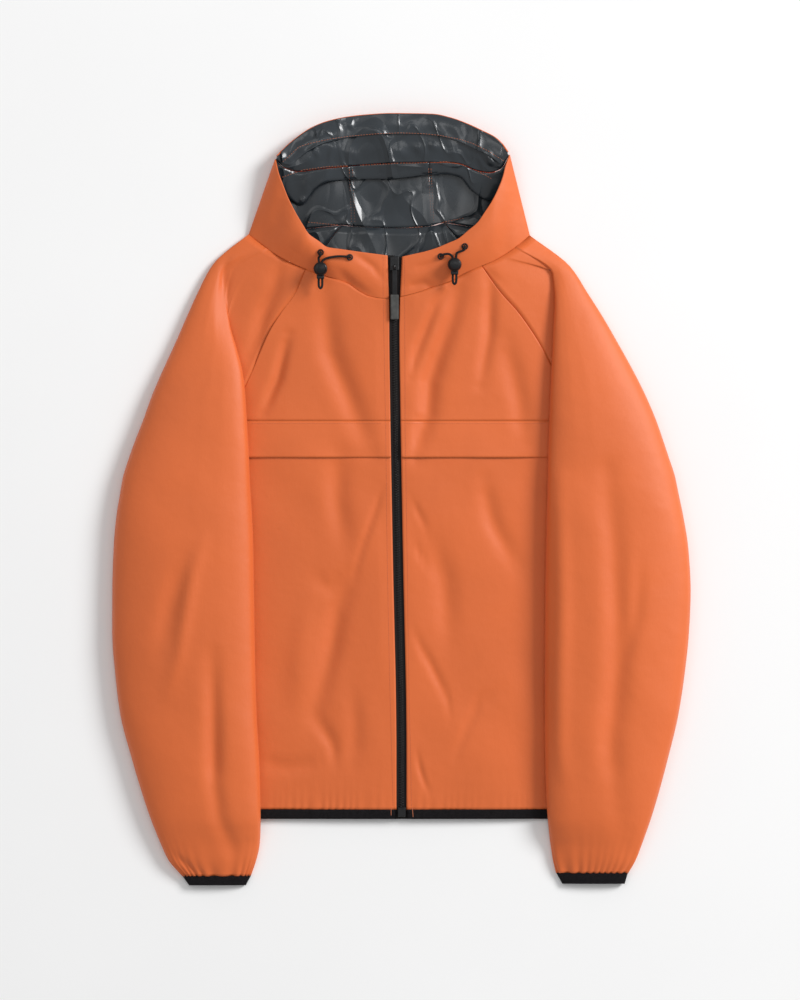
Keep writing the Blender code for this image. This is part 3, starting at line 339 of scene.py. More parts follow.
# How finely the cloth is divided
FRONT_COLUMNS = 9
SLEEVE_STEPS = (2, 4, 12, 3)
SLEEVE_EDGE = sum(SLEEVE_STEPS[:3]) + 5  # the point of a section where the two panels meet
SLEEVE_FINE = (6, 5)  # how many times finer the draped sleeve is, down and across
HOOD_STEPS = (4, 2, 1)
WING_CAP_STEPS = 5
CENTRE_COLUMNS = 5
TAPE_ROWS, TAPE_COLUMNS = 34, 9


# The shape of the cloth


def smooth(knots, values, at):
    """The smooth curves through (knots, values), with no overshoot, read at the places at."""
    values = np.asarray(values, float)
    more = (1,) * (values.ndim - 1)
    step = np.diff(knots).reshape(-1, *more)
    slope = np.diff(values, axis=0) / step
    product, both = slope[:-1] * slope[1:], slope[:-1] + slope[1:]
    inner = np.where(product > 0, 2 * product / np.where(both == 0, 1, both), 0)
    tangent = np.concatenate([slope[:1], inner, slope[-1:]])
    k = np.clip(np.searchsorted(knots, at) - 1, 0, len(knots) - 2)
    t = np.clip((at - knots[k]).reshape(-1, *more) / step[k], 0, 1)
    start, end = values[k], values[k + 1]
    bend = (t - 2 * t**2 + t**3) * tangent[k] + (t**3 - t**2) * tangent[k + 1]
    return start + (end - start) * (3 * t**2 - 2 * t**3) + bend * step[k]


def read(rows, column, at, knot="y"):
    """A column of a table at places between its rows, whose knot column only rises."""
    order = np.argsort(rows[knot])
    at = np.asarray(at, float)
    return smooth(rows[knot][order], rows[column][order], at.ravel()).reshape(at.shape)


def mix(start, end, share):
    return start + (end - start) * share


def zip_x(y):
    return read(ZIP, "x", y)


def front_height(x, y):
    """Height of the middle of the front at (x, y): highest at the zip, down to the back."""
    x, y = np.broadcast_arrays(np.asarray(x, float), np.asarray(y, float))
    low = FLOOR + LAYER
    left, right = (read(FLAT_EDGE[side], "x", y) for side, _ in SIDES)
    out = x - zip_x(y)
    reach = np.where(out < 0, left + zip_x(y), right - zip_x(y))
    away = np.clip(np.abs(out) / reach, 0, 1)
    return low + (read(ZIP, "height", y) - low) * (1 - away**2.2)


def front_rows(side, side_ys, zip_ys, count, lift=0.0):
    """Grid of a front between two seams across it, a row for each pair of end heights."""
    across = np.linspace(0, 1, count)
    neck = FRONT_NECK[side]
    top_side, top_zip = neck["y"][-1], neck["y"][0]
    grid = []
    for side_y, zip_y in zip(side_ys, zip_ys):
        start = zip_x(zip_y) + side * read(ZIP, "width", zip_y) / 2
        end = side * read(FRONT_EDGE[side], "x", side_y)
        x = mix(start, end, across)
        y = mix(zip_y, side_y, across)
        near_neck = np.clip((side_y - YOKE_Y) / (top_side - YOKE_Y), 0, 1)
        along = mix(neck["x"][0], neck["x"][-1], across)
        dip = smooth(neck["x"], neck["y"], along) - mix(top_zip, top_side, across)
        y = y + dip * near_neck**2
        grid.append(np.stack([x, y, front_height(x, y) + lift], 1))
    return np.array(grid)


def cap_ys(side):
    """Heights of the rows down a raglan seam, from the neck to the yoke's seam."""
    between = [248.0, 226.0, 203.4, 180.0, 152.0, 123.0]
    return np.array([SLEEVE[side]["y_seam"][0], *between, YOKE_Y])


def lower_ys():
    """Heights of the rows below the yoke's seam, down to the hem."""
    chest = [YOKE_Y, 72.0, YOKE_Y - FLAP_DEPTH, UNDERARM_Y]
    return np.array([*chest, -20.0, -90.0, -160.0, -230.0, -300.0, -345.0, HEM_Y])


def rested(x, y):
    """Height of the middle of a sleeve's lower layer: on the front, or past the hem on the floor."""
    over = np.clip((y - HEM_Y + BINDING + REST_START) / REST_RUN, 0, 1)
    over = over * over * (3 - 2 * over)
    return mix(FLOOR, front_height(x, y) + SLEEVE_LIFT, over)


def sleeve_section(side, row, steps):
    """One section of a sleeve, from its front seam round to its back seam.

    steps gives how many points the parts of the section take: out from the seam, in to
    the inner fold, over the top, and back along the floor.
    """
    out_steps, in_steps, top_steps, floor_steps = steps
    seam, turn, fold, outer = (row[name] for name in ("seam", "turn", "fold", "outer"))
    crisp, edge = row["crisp"], row["edge"]
    lift = SLEEVE_LIFT * crisp
    points = []

    def add(x, height):
        """Adds the point at the distance x out from the middle, at a height that its place gives."""
        share = np.clip((x - seam) / max(outer - seam, 1.0), 0, 1)
        y = mix(row["y_seam"], row["y_outer"], share) - row["sag"] * 4 * share * (1 - share)
        points.append((side * x, y, float(height(side * x, y))))

    def upper(x, y):
        """The layer that lies on the front."""
        return front_height(x, y) + lift if row["joined"] else rested(x, y)

    def lower(share):
        """The layer that leaves the seam: level with the front, or up from the floor below the arm."""
        if row["joined"]:
            return lambda x, y: front_height(x, y) + lift / 2 * max(0, share * 2 - 1)
        return lambda x, y: mix(FLOOR, rested(x, y), share / 2)

    turned = min(0.35, TURN / (abs(turn - seam) + 0.01))
    for k in range(out_steps + 1):
        add(mix(seam, turn, k / out_steps * (1 - turned)), lower(k / out_steps / 2))
    add(turn, lower(1.0))
    near = min(0.35, TURN / (abs(fold - turn) + 0.01))
    for k in range(in_steps + 1):
        add(mix(turn, fold, mix(near, 1 - near, k / in_steps)), upper)
    base = points[-1][2] + 0.55 * edge * crisp
    rise = FLOOR + edge
    for k in range(top_steps + 1):
        share = 0.5 - 0.5 * math.cos(math.pi * k / top_steps)
        away = abs(2 * share - 1)
        domed = (1 - away**2.4) ** (1 / 2.4)
        eased = 0.5 + 0.5 * math.cos(math.pi * away)
        top = mix(eased, domed, crisp) if share < 0.5 else domed
        add(mix(fold, outer, share), lambda x, y: mix(base, rise, share) + row["crown"] * top)
    for angle in (math.pi / 4, math.pi / 2):
        in_by, down_by = edge * (1 - math.cos(angle)), edge * math.sin(angle)
        points.append((side * (outer - in_by), row["y_outer"], rise - down_by))
    start = np.array(points[-1])
    end = np.array((side * row["back"], row["y_back"], FLOOR))
    points += [mix(start, end, k / floor_steps) for k in range(1, floor_steps + 1)]
    return np.array(points)


def sleeve_rows(side, cap, arm):
    """The rows of a sleeve: those of its cap at the seam heights cap, then those of its arm."""
    rows = []
    for k, y in enumerate(cap):
        row = {name: float(read(SLEEVE[side], name, y, "y_seam")) for name in SLEEVE_COLUMNS.split()}
        row["y_seam"] = y
        row["seam"] = float(read(FRONT_EDGE[side], "x", y))
        row["back"] = float(read(BACK_EDGE[side], "x", row["y_back"]))
        row["sag"] = 4.5 if k == 0 else 0.0
        row["joined"] = 1.0
        rows.append(row)
    for y in arm:
        row = {name: float(read(ARM[side], name, y)) for name in ARM_COLUMNS.split()}
        row |= {"y_seam": y, "y_outer": y, "y_back": y, "seam": row["under"], "back": row["under"]}
        row |= {"crisp": 1.0, "sag": 0.0, "joined": 0.0}
        rows.append(row)
    return rows


def sleeve_grid(side, cap, arm, steps):
    return np.array([sleeve_section(side, row, steps) for row in sleeve_rows(side, cap, arm)])


def run_of(points):
    """How far along a line of points each one is."""
    return np.concatenate([[0], np.cumsum(np.linalg.norm(np.diff(points, axis=0), axis=1))])


def polyline(points, shares):
    """Points at shares of the length of a line of points."""
    points = np.asarray(points, float)
    run = run_of(points)
    return np.stack([np.interp(np.asarray(shares) * run[-1], run, points[:, axis]) for axis in range(3)], 1)


def hood_row(s):
    """The row of the hood's table at s, with its places as points."""
    row = {name: float(read(HOOD, name, s, "s")) for name in HOOD_COLUMNS.split()}
    heights = {"turn": FLOOR, "fold": FLOOR + 2 * TURN, "band": row["band_z"], "rim": row["rim_z"]}
    places = {name: np.array((row[f"{name}_x"], row[f"{name}_y"], z)) for name, z in heights.items()}
    return places | {"closed": row["closed"]}


def flat_step(start, end):
    """The step of one turn's radius from start towards end, level with the floor."""
    step = (end - start) * (1, 1, 0)
    return step / np.linalg.norm(step) * TURN


def hood_line(s, foot, steps):
    """A line up the back of the hood, from its foot on the neck seam to the band's seam.

    The cloth goes up under itself to the hidden turn, back to the fold that hangs over
    the crown, and up again; where the row isn't closed it just goes up the side.
    """
    row = hood_row(s)
    turn, fold, band, closed = row["turn"], row["fold"], row["band"], row["closed"]
    up = (0, 0, TURN)
    out, back = flat_step(foot, turn), flat_step(turn, fold)
    folded = [turn - out, turn + up, turn - out + np.multiply(2, up)]
    folded += [fold - back, fold + up, fold - back + np.multiply(2, up)]
    on_side = [mix(foot, band, share) for share in (0.42, 0.48, 0.54, 0.70, 0.76, 0.82)]
    places = [mix(side, inner, closed) for side, inner in zip(on_side, folded)]
    start = foot * (1, 1, 0) + (0, 0, mix(foot[2], FLOOR, closed))
    line = [start]
    legs = ((places[0], steps[0]), (places[1], 1), (places[2], 1), (places[3], steps[1]))
    legs += ((places[4], 1), (places[5], 1), (band, steps[2]))
    for end, count in legs:
        start = line[-1]
        line += [mix(start, end, k / count) for k in range(1, count + 1)]
    return np.array(line)


def wing_columns(side, foot, shares):
    """The hood's front layer as columns from the zip to the side fold, up to the rim."""
    rim = OPENING[side]
    across = run_of(foot) / run_of(foot)[-1]
    top = polyline(np.stack([side * rim["x"], rim["y"], rim["z"]], 1), across)
    columns = []
    for k, share in enumerate(across):
        column = mix(foot[k], top[k], shares[:, None])
        bulge = WING_BULGE * math.sin(math.pi * share) ** 0.7
        column[:, 2] += bulge * np.sin(math.pi * shares)
        columns.append(column)
    return columns


def hood_side(side, wing_foot, back_foot, steps):
    """A side of the hood: its wing, the fold at the side and its part of the back."""
    s_fold, s_seam = (0.0, CROWN_AT[0]) if side == LEFT else (1.0, CROWN_AT[1])
    fold_line = hood_line(s_fold, wing_foot[-1], steps)
    shares = run_of(fold_line) / run_of(fold_line)[-1]
    columns = wing_columns(side, wing_foot, shares)
    columns[-1] = fold_line
    for share, foot in zip(np.linspace(0, 1, len(back_foot))[1:], back_foot[1:]):
        columns.append(hood_line(mix(s_fold, s_seam, share), foot, steps))
    grid = np.array(columns)
    return grid if side == LEFT else grid[::-1]


def seamed(grid, edges, by=GAP / 2):
    """The grid with its named edges drawn in by half of a seam's gap."""
    grid = grid.copy()
    across = grid.swapaxes(0, 1)
    views = {"first": grid, "last": grid[::-1], "start": across, "end": across[::-1]}
    for edge in edges:
        view = views[edge]
        step = view[1] - view[0]
        view[0] = view[0] + step / np.linalg.norm(step, axis=-1, keepdims=True) * by
    return grid


def arm_ys(side):
    """Heights of the rows down an arm, from below the underarm to the cuff's seam."""
    upper = [8.0, -20.0, -60.0, -110.0, -160.0, -210.0, -260.0]
    fore = [-310.0, -350.0, -384.0, -400.0, -416.0, -434.0]
    return np.array([*upper, *fore, ARM[side]["y"][0]])


def back_grid(count):
    """The back, flat on the floor, a row for each pair of heights up its two edges."""
    joined = lower_ys()[1:4]
    low = lower_ys()[:3:-1]
    ys = {}
    for side, _ in SIDES:
        seam = np.concatenate([joined[::-1], cap_ys(side)[::-1]])
        ys[side] = np.concatenate([low, read(SLEEVE[side], "y_back", seam, "y_seam")])
    rows = []
    for left_y, right_y in zip(ys[LEFT], ys[RIGHT]):
        start = np.array((-read(BACK_EDGE[LEFT], "x", left_y), left_y, FLOOR))
        end = np.array((read(BACK_EDGE[RIGHT], "x", right_y), right_y, FLOOR))
        rows.append(mix(start, end, np.linspace(0, 1, count)[:, None]))
    rows[-1][:, 1] = smooth(NAPE["x"], NAPE["y"], rows[-1][:, 0])
    return np.array(rows)


def hem_grid(fronts, back):
    """The binding round the hem, from one side of the zip round the back to the other."""
    edge = read(FRONT_EDGE[LEFT], "x", HEM_Y)
    bend = ((edge - 5, FLOOR + LAYER + 0.3), (edge, FLOOR + LAYER + 0.8), (edge + 1.1, FLOOR + 1.1))
    left = [(x, z) for x, _, z in fronts[LEFT][-1][:-1]] + [(-x, z) for x, z in bend]
    right = [(x, z) for x, z in bend[::-1]] + [(x, z) for x, _, z in fronts[RIGHT][-1][-2::-1]]
    path = np.array(left + [(x, FLOOR) for x in back[0][:, 0]] + right)
    on_front = path[:, 1] > FLOOR + 2 * LAYER
    rows = []
    for y in (HEM_Y, HEM_Y - BINDING):
        drop = front_height(path[:, 0], y) - front_height(path[:, 0], HEM_Y)
        z = path[:, 1] + drop * on_front
        rows.append(np.column_stack([path[:, 0], np.full(len(path), y), z]))
    return np.array(rows)


def cuff_grid(side, sleeve):
    """A cuff as a ring, from the sleeve's last section to its own narrower mouth."""
    mouth = CUFF[side]
    ring = sleeve[-1][:-1]
    rows = [ring]
    for share in (0.5, 1.0):
        out = (ring[:, 0] * side - mouth["inner"][0]) / (mouth["outer"][0] - mouth["inner"][0])
        y, inner, outer, height = (mix(*mouth[name], share) for name in ("y", "inner", "outer", "height"))
        z = FLOOR + (ring[:, 2] - FLOOR) * height / mouth["height"][0]
        rows.append(np.column_stack([side * mix(inner, outer, out), np.full(len(ring), y), z]))
    return np.array(rows)


def hood_feet(side, front, sleeve, nape, seam_x):
    """The neck edge as two lines: under the wing, and on behind to the crown seam."""
    fold = np.argmax(sleeve[:, 0] * side)
    wing = polyline(sleeve[: fold + 1], np.linspace(0, 1, WING_CAP_STEPS + 1))
    between = nape[nape[:, 0] * side > seam_x * side]
    if side == RIGHT:
        between = between[::-1]
    seam = (seam_x, smooth(NAPE["x"], NAPE["y"], np.array([seam_x]))[0], FLOOR)
    behind = np.concatenate([sleeve[fold:], between[1:], [seam]])
    return np.concatenate([front, wing[1:]]), behind


def hood_centre(nape, count, steps):
    """The middle panel of the crown, between its two seams."""
    seam_y = smooth(NAPE["x"], NAPE["y"], np.array(CROWN_SEAMS))
    inner = nape[(nape[:, 0] > CROWN_SEAMS[0]) & (nape[:, 0] < CROWN_SEAMS[1])]
    ends = [np.array((x, y, FLOOR)) for x, y in zip(CROWN_SEAMS, seam_y)]
    feet = polyline(np.concatenate([[ends[0]], inner, [ends[1]]]), np.linspace(0, 1, count))
    at = np.linspace(*CROWN_AT, count)
    return np.array([hood_line(s, foot, steps) for s, foot in zip(at, feet)])


def band_grid(seam, at, rows):
    """The front band of the hood, from the crown's edge out to the rim."""
    rim = np.array([hood_row(s)["rim"] for s in at])
    shares = np.linspace(0, 1, rows + 1)
    bulged = [(0, 0, BAND_BULGE * math.sin(math.pi * share)) for share in shares]
    return np.array([mix(seam, rim, share) + up for share, up in zip(shares, bulged)])


def facing_grid(band):
    """The facing, which lies on the band along the rim."""
    rim, inner = band[-1, 1:-1], band[0, 1:-1]
    depth = np.linalg.norm(rim - inner, axis=1, keepdims=True)
    share = np.minimum(FACING / depth, 0.8)
    rows = []
    for part in (1.0, 0.5, 0.0):
        at = share * part
        point = mix(rim, inner, at)
        point[:, 2] += BAND_BULGE * np.sin(math.pi * (1 - at[:, 0])) + LAYER + FACING_ROOM
        rows.append(point)
    return np.array(rows)


def tape_grid(side, ys):
    """One side of the zip's tape, which runs under the front's edge."""
    rows = []
    for y in ys:
        reach = read(ZIP, "width", y) / 2 + TAPE_UNDERLAP
        x = zip_x(y) + side * np.array((GAP / 2, reach / 2, reach))
        rows.append(np.column_stack([x, np.full(3, y), front_height(x, y) - LAYER - TAPE_DROP]))
    return np.array(rows)


def quads_of(index):
    """The faces between neighbouring points of a grid, given as the grid of their numbers."""
    corners = [index[:-1, :-1], index[1:, :-1], index[1:, 1:], index[:-1, 1:]]
    return np.stack(corners, -1).reshape(-1, 4).tolist()


def numbered(grid):
    rows, columns = grid.shape[:2]
    return np.arange(rows * columns).reshape(rows, columns)


def tree_of(grid):
    """The grid's faces, to look up heights on."""
    return BVHTree.FromPolygons(grid.reshape(-1, 3).tolist(), quads_of(numbered(grid).T))


def seen_from_above(trees, x, y):
    """Where lines straight down at (x, y) meet the cloth, each with the way it faces there."""
    found = [tree.ray_cast(Vector((x, y, ABOVE)), Vector(DOWN)) for tree in trees]
    return [(point, normal) for point, normal, *_ in found if point]


def top_of(trees, x, y):
    """The highest point of the cloth at (x, y) and the way it faces there."""
    point, normal = max(seen_from_above(trees, x, y), key=lambda hit: hit[0].z)
    return point, normal if normal.z > 0 else -normal


def on_top(trees, x, y):
    """Height of the cloth's middle seen from above at (x, y), or None beside the cloth."""
    return max((point.z for point, _ in seen_from_above(trees, x, y)), default=None)


# Folds, gathers and creases


def refine(grid, down, across):
    """The grid with down x across times as many quads, on smooth curves through its points."""
    for count in (down, across):
        at = np.linspace(0, len(grid) - 1, (len(grid) - 1) * count + 1)
        grid = smooth(np.arange(len(grid)), grid, at).swapaxes(0, 1)
    return grid


def normals_of(grid):
    """The way each point of a grid faces, from the run of its rows and columns."""
    facing = np.cross(np.gradient(grid, axis=0), np.gradient(grid, axis=1))
    return facing / np.maximum(np.linalg.norm(facing, axis=-1, keepdims=True), TINY)


def fold(x, y, height, width, line):
    """One fold's height at (x, y): rounded across its line and fading out at its ends."""
    line = np.array(line, float)
    run = run_of(line)
    best, along = np.full(np.shape(x), np.inf), np.zeros(np.shape(x))
    for k, (start, end) in enumerate(zip(line, line[1:])):
        step = end - start
        share = np.clip(((x - start[0]) * step[0] + (y - start[1]) * step[1]) / (step @ step), 0, 1)
        away = np.hypot(x - start[0] - share * step[0], y - start[1] - share * step[1])
        nearer = away < best
        best = np.where(nearer, away, best)
        along = np.where(nearer, run[k] + share * (run[k + 1] - run[k]), along)
    ends = np.sin(math.pi * np.clip(along / run[-1], 0.04, 0.96)) ** 0.6
    return height * ends * np.exp(-((best / width) ** 2))


def folds_at(folds, x, y):
    return sum(fold(x, y, height, width, line) for height, width, *line in folds)


def waves(x, y):
    """Low, slow unevenness of cloth that lies loose."""
    slow = np.sin(x / 31 + 1.7 * np.sin(y / 83) + 0.6) * np.sin(y / 97 + x / 140)
    return 0.8 * slow + 0.4 * np.sin((x + 0.5 * y) / 17 + 1.3 * np.sin(y / 41))


def hem_gathers(x, y):
    """The cloth drawn together by the elastic of the hem."""
    strength = 0.45 + 0.55 * np.exp(-(((x + 76) / 38) ** 2)) + 0.15 * np.sin(x / 23)
    ripple = np.sin(x / 1.55 + 2.2 * np.sin(x / 11.3) + 0.9 * np.sin(x / 4.7))
    return 0.75 * strength * ripple * np.exp(-np.abs(y - HEM_Y) / HEM_GATHER_REACH)


def drape(x, y):
    """How far folds and gathers lift the front at (x, y)."""
    placket = np.clip((np.abs(x - zip_x(y)) - PLACKET) / 14, 0, 1)
    side = np.clip((FRONT_CALM - np.abs(x)) / 30, 0, 1)
    return (folds_at(FRONT_FOLDS, x, y) + waves(x, y)) * placket * side + hem_gathers(x, y)


def at_flap(part, x, y):
    """Lets the vent flap run on from the seam above it, with its free edge a little off the front."""
    down = np.clip((YOKE_Y - y) / FLAP_DEPTH, 0, 1)
    if part == "front_lower":
        return -LAYER * (1 - down) - GAP * (down < 1)
    if part == "vent_flap":
        off = 0.7 + 0.6 * np.sin(x / 17 + 1) + 0.4 * np.sin(x / 41)
        return off * down**3 - LAYER * (1 - down) ** 2
    return 0.0


def lifted(grid, by):
    grid = grid.copy()
    grid[..., 2] += by
    return grid


def crumple(spacing, height, box, seed):
    """A crumpled surface over a box of (x, y), as a tree of flat facets."""
    chance = np.random.default_rng(seed)
    (low_x, low_y), (high_x, high_y) = box
    xs, ys = np.meshgrid(np.arange(low_x, high_x, spacing), np.arange(low_y, high_y, spacing))
    places = np.stack([xs.ravel(), ys.ravel()], 1) + chance.uniform(-0.45, 0.45, (xs.size, 2)) * spacing
    facets = geometry.delaunay_2d_cdt([Vector(place) for place in places], [], [], 0, 1e-6)
    points = [(*place, height * chance.uniform(-1, 1)) for place in facets[0]]
    return BVHTree.FromPolygons(points, facets[2])


def crumpled(tree, x, y, soften=2.0):
    """Heights of a crumpled surface, its edges softened over a few millimetres."""
    steps = ((0, 0), (soften, 0), (-soften, 0), (0, soften), (0, -soften))
    high, down = 50.0, Vector(DOWN)
    total = np.zeros(x.size)
    for k, (px, py) in enumerate(zip(x.ravel(), y.ravel())):
        for dx, dy in steps:
            hit = tree.ray_cast(Vector((px + dx, py + dy, high)), down)[0]
            total[k] += hit.z if hit else 0.0
    return (total / len(steps)).reshape(x.shape)


def creases(facets, x, y):
    """How far the coated cloth inside the hood is creased at (x, y)."""
    return crumpled(facets, x, y) + folds_at([(*HOOD_CREASE, *line) for line in HOOD_FOLDS], x, y)


def off_floor(grid):
    """From 0 for cloth flat on the floor to 1 a few millimetres above it."""
    return np.clip((grid[..., 2] - 1.5) / 4, 0, 1)


def sleeve_cloth(side, grid):
    """The sleeve's section grid with the folds on its upper side and the gathers at its cuff."""
    grid = refine(grid, *SLEEVE_FINE)
    facing = normals_of(grid)
    if np.mean(facing[:, grid.shape[1] // 2, 2]) < 0:
        facing = -facing
    x, y = grid[..., 0], grid[..., 1]
    upper = np.clip((facing[..., 2] - 0.1) / 0.5, 0, 1)
    rise = np.clip((grid[..., 2] - front_height(x, y) - 3 * LAYER) / 8, 0, 1)
    rise = np.maximum(rise, 0.75 * np.clip((y - 70) / 60, 0, 1))
    down_arm = np.clip((y + 380) / 60, 0.6, 1)
    loose = folds_at(SLEEVE_FOLDS, x, y) + 0.7 * waves(x + 50, y)
    around = np.linspace(0, 1, grid.shape[1])[None, :]
    from_cuff = y - ARM[side]["y"][0]
    turns = CUFF_PLEATS * around + 0.8 * np.sin(around * 19 + side)
    pleat = np.sin(2 * math.pi * turns + 0.02 * from_cuff)
    gather = 1.1 * np.exp(-np.abs(from_cuff) / CUFF_GATHER_REACH) * pleat * np.clip(facing[..., 2] * 2, 0, 1)
    amount = loose * upper * rise * down_arm + gather
    return grid + facing * amount[..., None]


# Finishes


def nodes_for(name, colour, roughness, metallic=0.0, sheen=0.0, level=0.5):
    made = bpy.data.materials.new(name)
    made.use_nodes = True
    tree = made.node_tree
    shader = tree.nodes["Principled BSDF"]
    shader.inputs["Base Color"].default_value = (*colour, 1.0)
    shader.inputs["Roughness"].default_value = roughness
    shader.inputs["Metallic"].default_value = metallic
    shader.inputs["Sheen Weight"].default_value = sheen
    shader.inputs["Specular IOR Level"].default_value = level
    place = tree.nodes.new("ShaderNodeTexCoord")
    return made, tree, shader, place.outputs["Object"]


def noise(tree, place, scale, detail=3.0, stretch=None):
    """A noise whose scale counts its lumps per metre."""
    if stretch:
        mapping = tree.nodes.new("ShaderNodeMapping")
        mapping.inputs["Scale"].default_value = stretch
        tree.links.new(place, mapping.inputs["Vector"])
        place = mapping.outputs["Vector"]
    made = tree.nodes.new("ShaderNodeTexNoise")
    made.inputs["Scale"].default_value = scale
    made.inputs["Detail"].default_value = detail
    tree.links.new(place, made.inputs["Vector"])
    return made.outputs["Fac"]


def threads(tree, place, pitch, direction):
    """Parallel threads at a pitch in metres."""
    made = tree.nodes.new("ShaderNodeTexWave")
    made.bands_direction = direction
    made.inputs["Scale"].default_value = math.pi / (10 * pitch)
    tree.links.new(place, made.inputs["Vector"])
    return made.outputs["Fac"]


def crossed(tree, place, pitch, *directions):
    """Two sets of threads over each other."""
    return maths(tree, "MULTIPLY", *(threads(tree, place, pitch, direction) for direction in directions))


def maths(tree, operation, *values):
    made = tree.nodes.new("ShaderNodeMath")
    made.operation = operation
    for socket, value in zip(made.inputs, values):
        if isinstance(value, float):
            socket.default_value = value
        else:
            tree.links.new(value, socket)
    return made.outputs[0]


def ramp(tree, value, *stops):
    """A colour for each value between stops, given as (place, colour)."""
    made = tree.nodes.new("ShaderNodeValToRGB")
    points = made.color_ramp.elements
    points[0].position, points[0].color = stops[0][0], (*stops[0][1], 1)
    points[1].position, points[1].color = stops[-1][0], (*stops[-1][1], 1)
    for place, colour in stops[1:-1]:
        points.new(place).color = (*colour, 1)
    tree.links.new(value, made.inputs["Fac"])
    return made.outputs["Color"]


def shade(tree, shader, value, colour, *stops):
    """Uneven colour: each stop is a place in the value's range and how bright the colour is there."""
    tints = [(place, tuple(channel * bright for channel in colour)) for place, bright in stops]
    tree.links.new(ramp(tree, value, *tints), shader.inputs["Base Color"])


def uneven_gloss(tree, shader, value, spread, lowest):
    """Roughness that goes from the lowest up by the spread."""
    tree.links.new(maths(tree, "MULTIPLY_ADD", value, spread, lowest), shader.inputs["Roughness"])


def raise_by(tree, shader, *heights):
    """Bumps, each as a height map and its depth in metres."""
    last = None
    for height, depth in heights:
        made = tree.nodes.new("ShaderNodeBump")
        made.inputs["Distance"].default_value = depth
        tree.links.new(height, made.inputs["Height"])
        if last:
            tree.links.new(last, made.inputs["Normal"])
        last = made.outputs["Normal"]
    tree.links.new(last, shader.inputs["Normal"])


def shell_cloth():
    """Burnt orange plain weave, matt and a little uneven in colour."""
    colour = (0.70, 0.142, 0.031)
    made, tree, shader, place = nodes_for("coated_shell_cloth", colour, 0.5, sheen=0.05, level=0.42)
    shade(tree, shader, noise(tree, place, 9.0, 4.0), colour, (0.3, 0.955), (0.7, 1.03))
    weave = crossed(tree, place, 0.0009, "X", "Y")
    slub = noise(tree, place, 900.0, 2.0, (1.0, 0.15, 1.0))
    soft = noise(tree, place, 38.0)
    raise_by(tree, shader, (weave, 0.00005), (slub, 0.00006), (soft, 0.0007))
    return made


def ridges(tree, place, scale, width, stretch):
    """Long wandering creases: where a warped noise passes its middle value."""
    value = noise(tree, place, scale, 1.0, stretch)
    value.node.inputs["Distortion"].default_value = 0.5
    away = maths(tree, "ABSOLUTE", maths(tree, "SUBTRACT", value, 0.5))
    return ramp(tree, away, (0.0, (1, 1, 1)), (width * 0.45, (0.35, 0.35, 0.35)), (width, (0, 0, 0)))


def inside_cloth():
    """The dark glossy coating on the inside of the cloth, creased all over."""
    colour = (0.019, 0.024, 0.029)
    made, tree, shader, place = nodes_for("coated_inside_cloth", colour, 0.27, level=0.6)
    shade(tree, shader, noise(tree, place, 14.0), colour, (0.35, 0.85), (0.68, 1.5))
    uneven_gloss(tree, shader, noise(tree, place, 40.0), 0.16, 0.17)
    long_creases = ridges(tree, place, 9.0, 0.07, (1.0, 0.55, 1.0))
    short_creases = ridges(tree, place, 24.0, 0.06, (1.0, 0.7, 1.0))
    swells = noise(tree, place, 20.0, 0.5, (1.0, 0.5, 1.0))
    raise_by(tree, shader, (long_creases, 0.0036), (short_creases, 0.0011), (swells, 0.0105))
    return made


def knit():
    """Black elastic, ribbed along its length."""
    colour = (0.007, 0.006, 0.007)
    made, tree, shader, place = nodes_for("elastic_knit", colour, 0.9, level=0.15)
    shade(tree, shader, noise(tree, place, 700.0), colour, (0.35, 0.7), (0.7, 2.0))
    raise_by(tree, shader, (threads(tree, place, 0.0014, "X"), 0.0003), (noise(tree, place, 900.0), 0.0002))
    return made


def tape_weave():
    """Black twill of the zip's tape."""
    colour = (0.010, 0.008, 0.008)
    made, tree, shader, place = nodes_for("zip_tape_weave", colour, 0.8, level=0.25)
    shade(tree, shader, noise(tree, place, 900.0), colour, (0.3, 0.7), (0.7, 1.7))
    raise_by(tree, shader, (threads(tree, place, 0.0009, "DIAGONAL"), 0.0002))
    return made


def moulded(name, colour, roughness, metallic=0.0, level=0.5, grain=500.0):
    """Hard black parts: fine grain, with wear as a change of gloss."""
    made, tree, shader, place = nodes_for(name, colour, roughness, metallic, level=level)
    shade(tree, shader, noise(tree, place, 120.0), colour, (0.3, 0.8), (0.75, 1.5))
    uneven_gloss(tree, shader, noise(tree, place, 90.0), 0.2, roughness - 0.1)
    raise_by(tree, shader, (noise(tree, place, grain), 0.00008))
    return made


def braid():
    """Black braided cord, its strands crossing in a herringbone."""
    colour = (0.014, 0.013, 0.014)
    made, tree, shader, place = nodes_for("cord_braid_weave", colour, 0.8, level=0.25)
    strands = crossed(tree, place, 0.0011, "DIAGONAL", "Y")
    shade(tree, shader, strands, colour, (0.1, 0.6), (0.8, 2.4))
    raise_by(tree, shader, (strands, 0.0005))
    return made


def thread(name, colour):
    """Sewing thread, twisted."""
    made, tree, shader, place = nodes_for(name, colour, 0.6, sheen=0.2)
    shade(tree, shader, threads(tree, place, 0.0006, "DIAGONAL"), colour, (0.2, 0.7), (0.8, 1.0))
    return made


def floor_finish():
    made, tree, shader, place = nodes_for("pale_floor", (0.93, 0.93, 0.93), 0.9)
    shade(tree, shader, noise(tree, place, 3.0), (1, 1, 1), (0.4, 0.925), (0.6, 0.935))
    return made


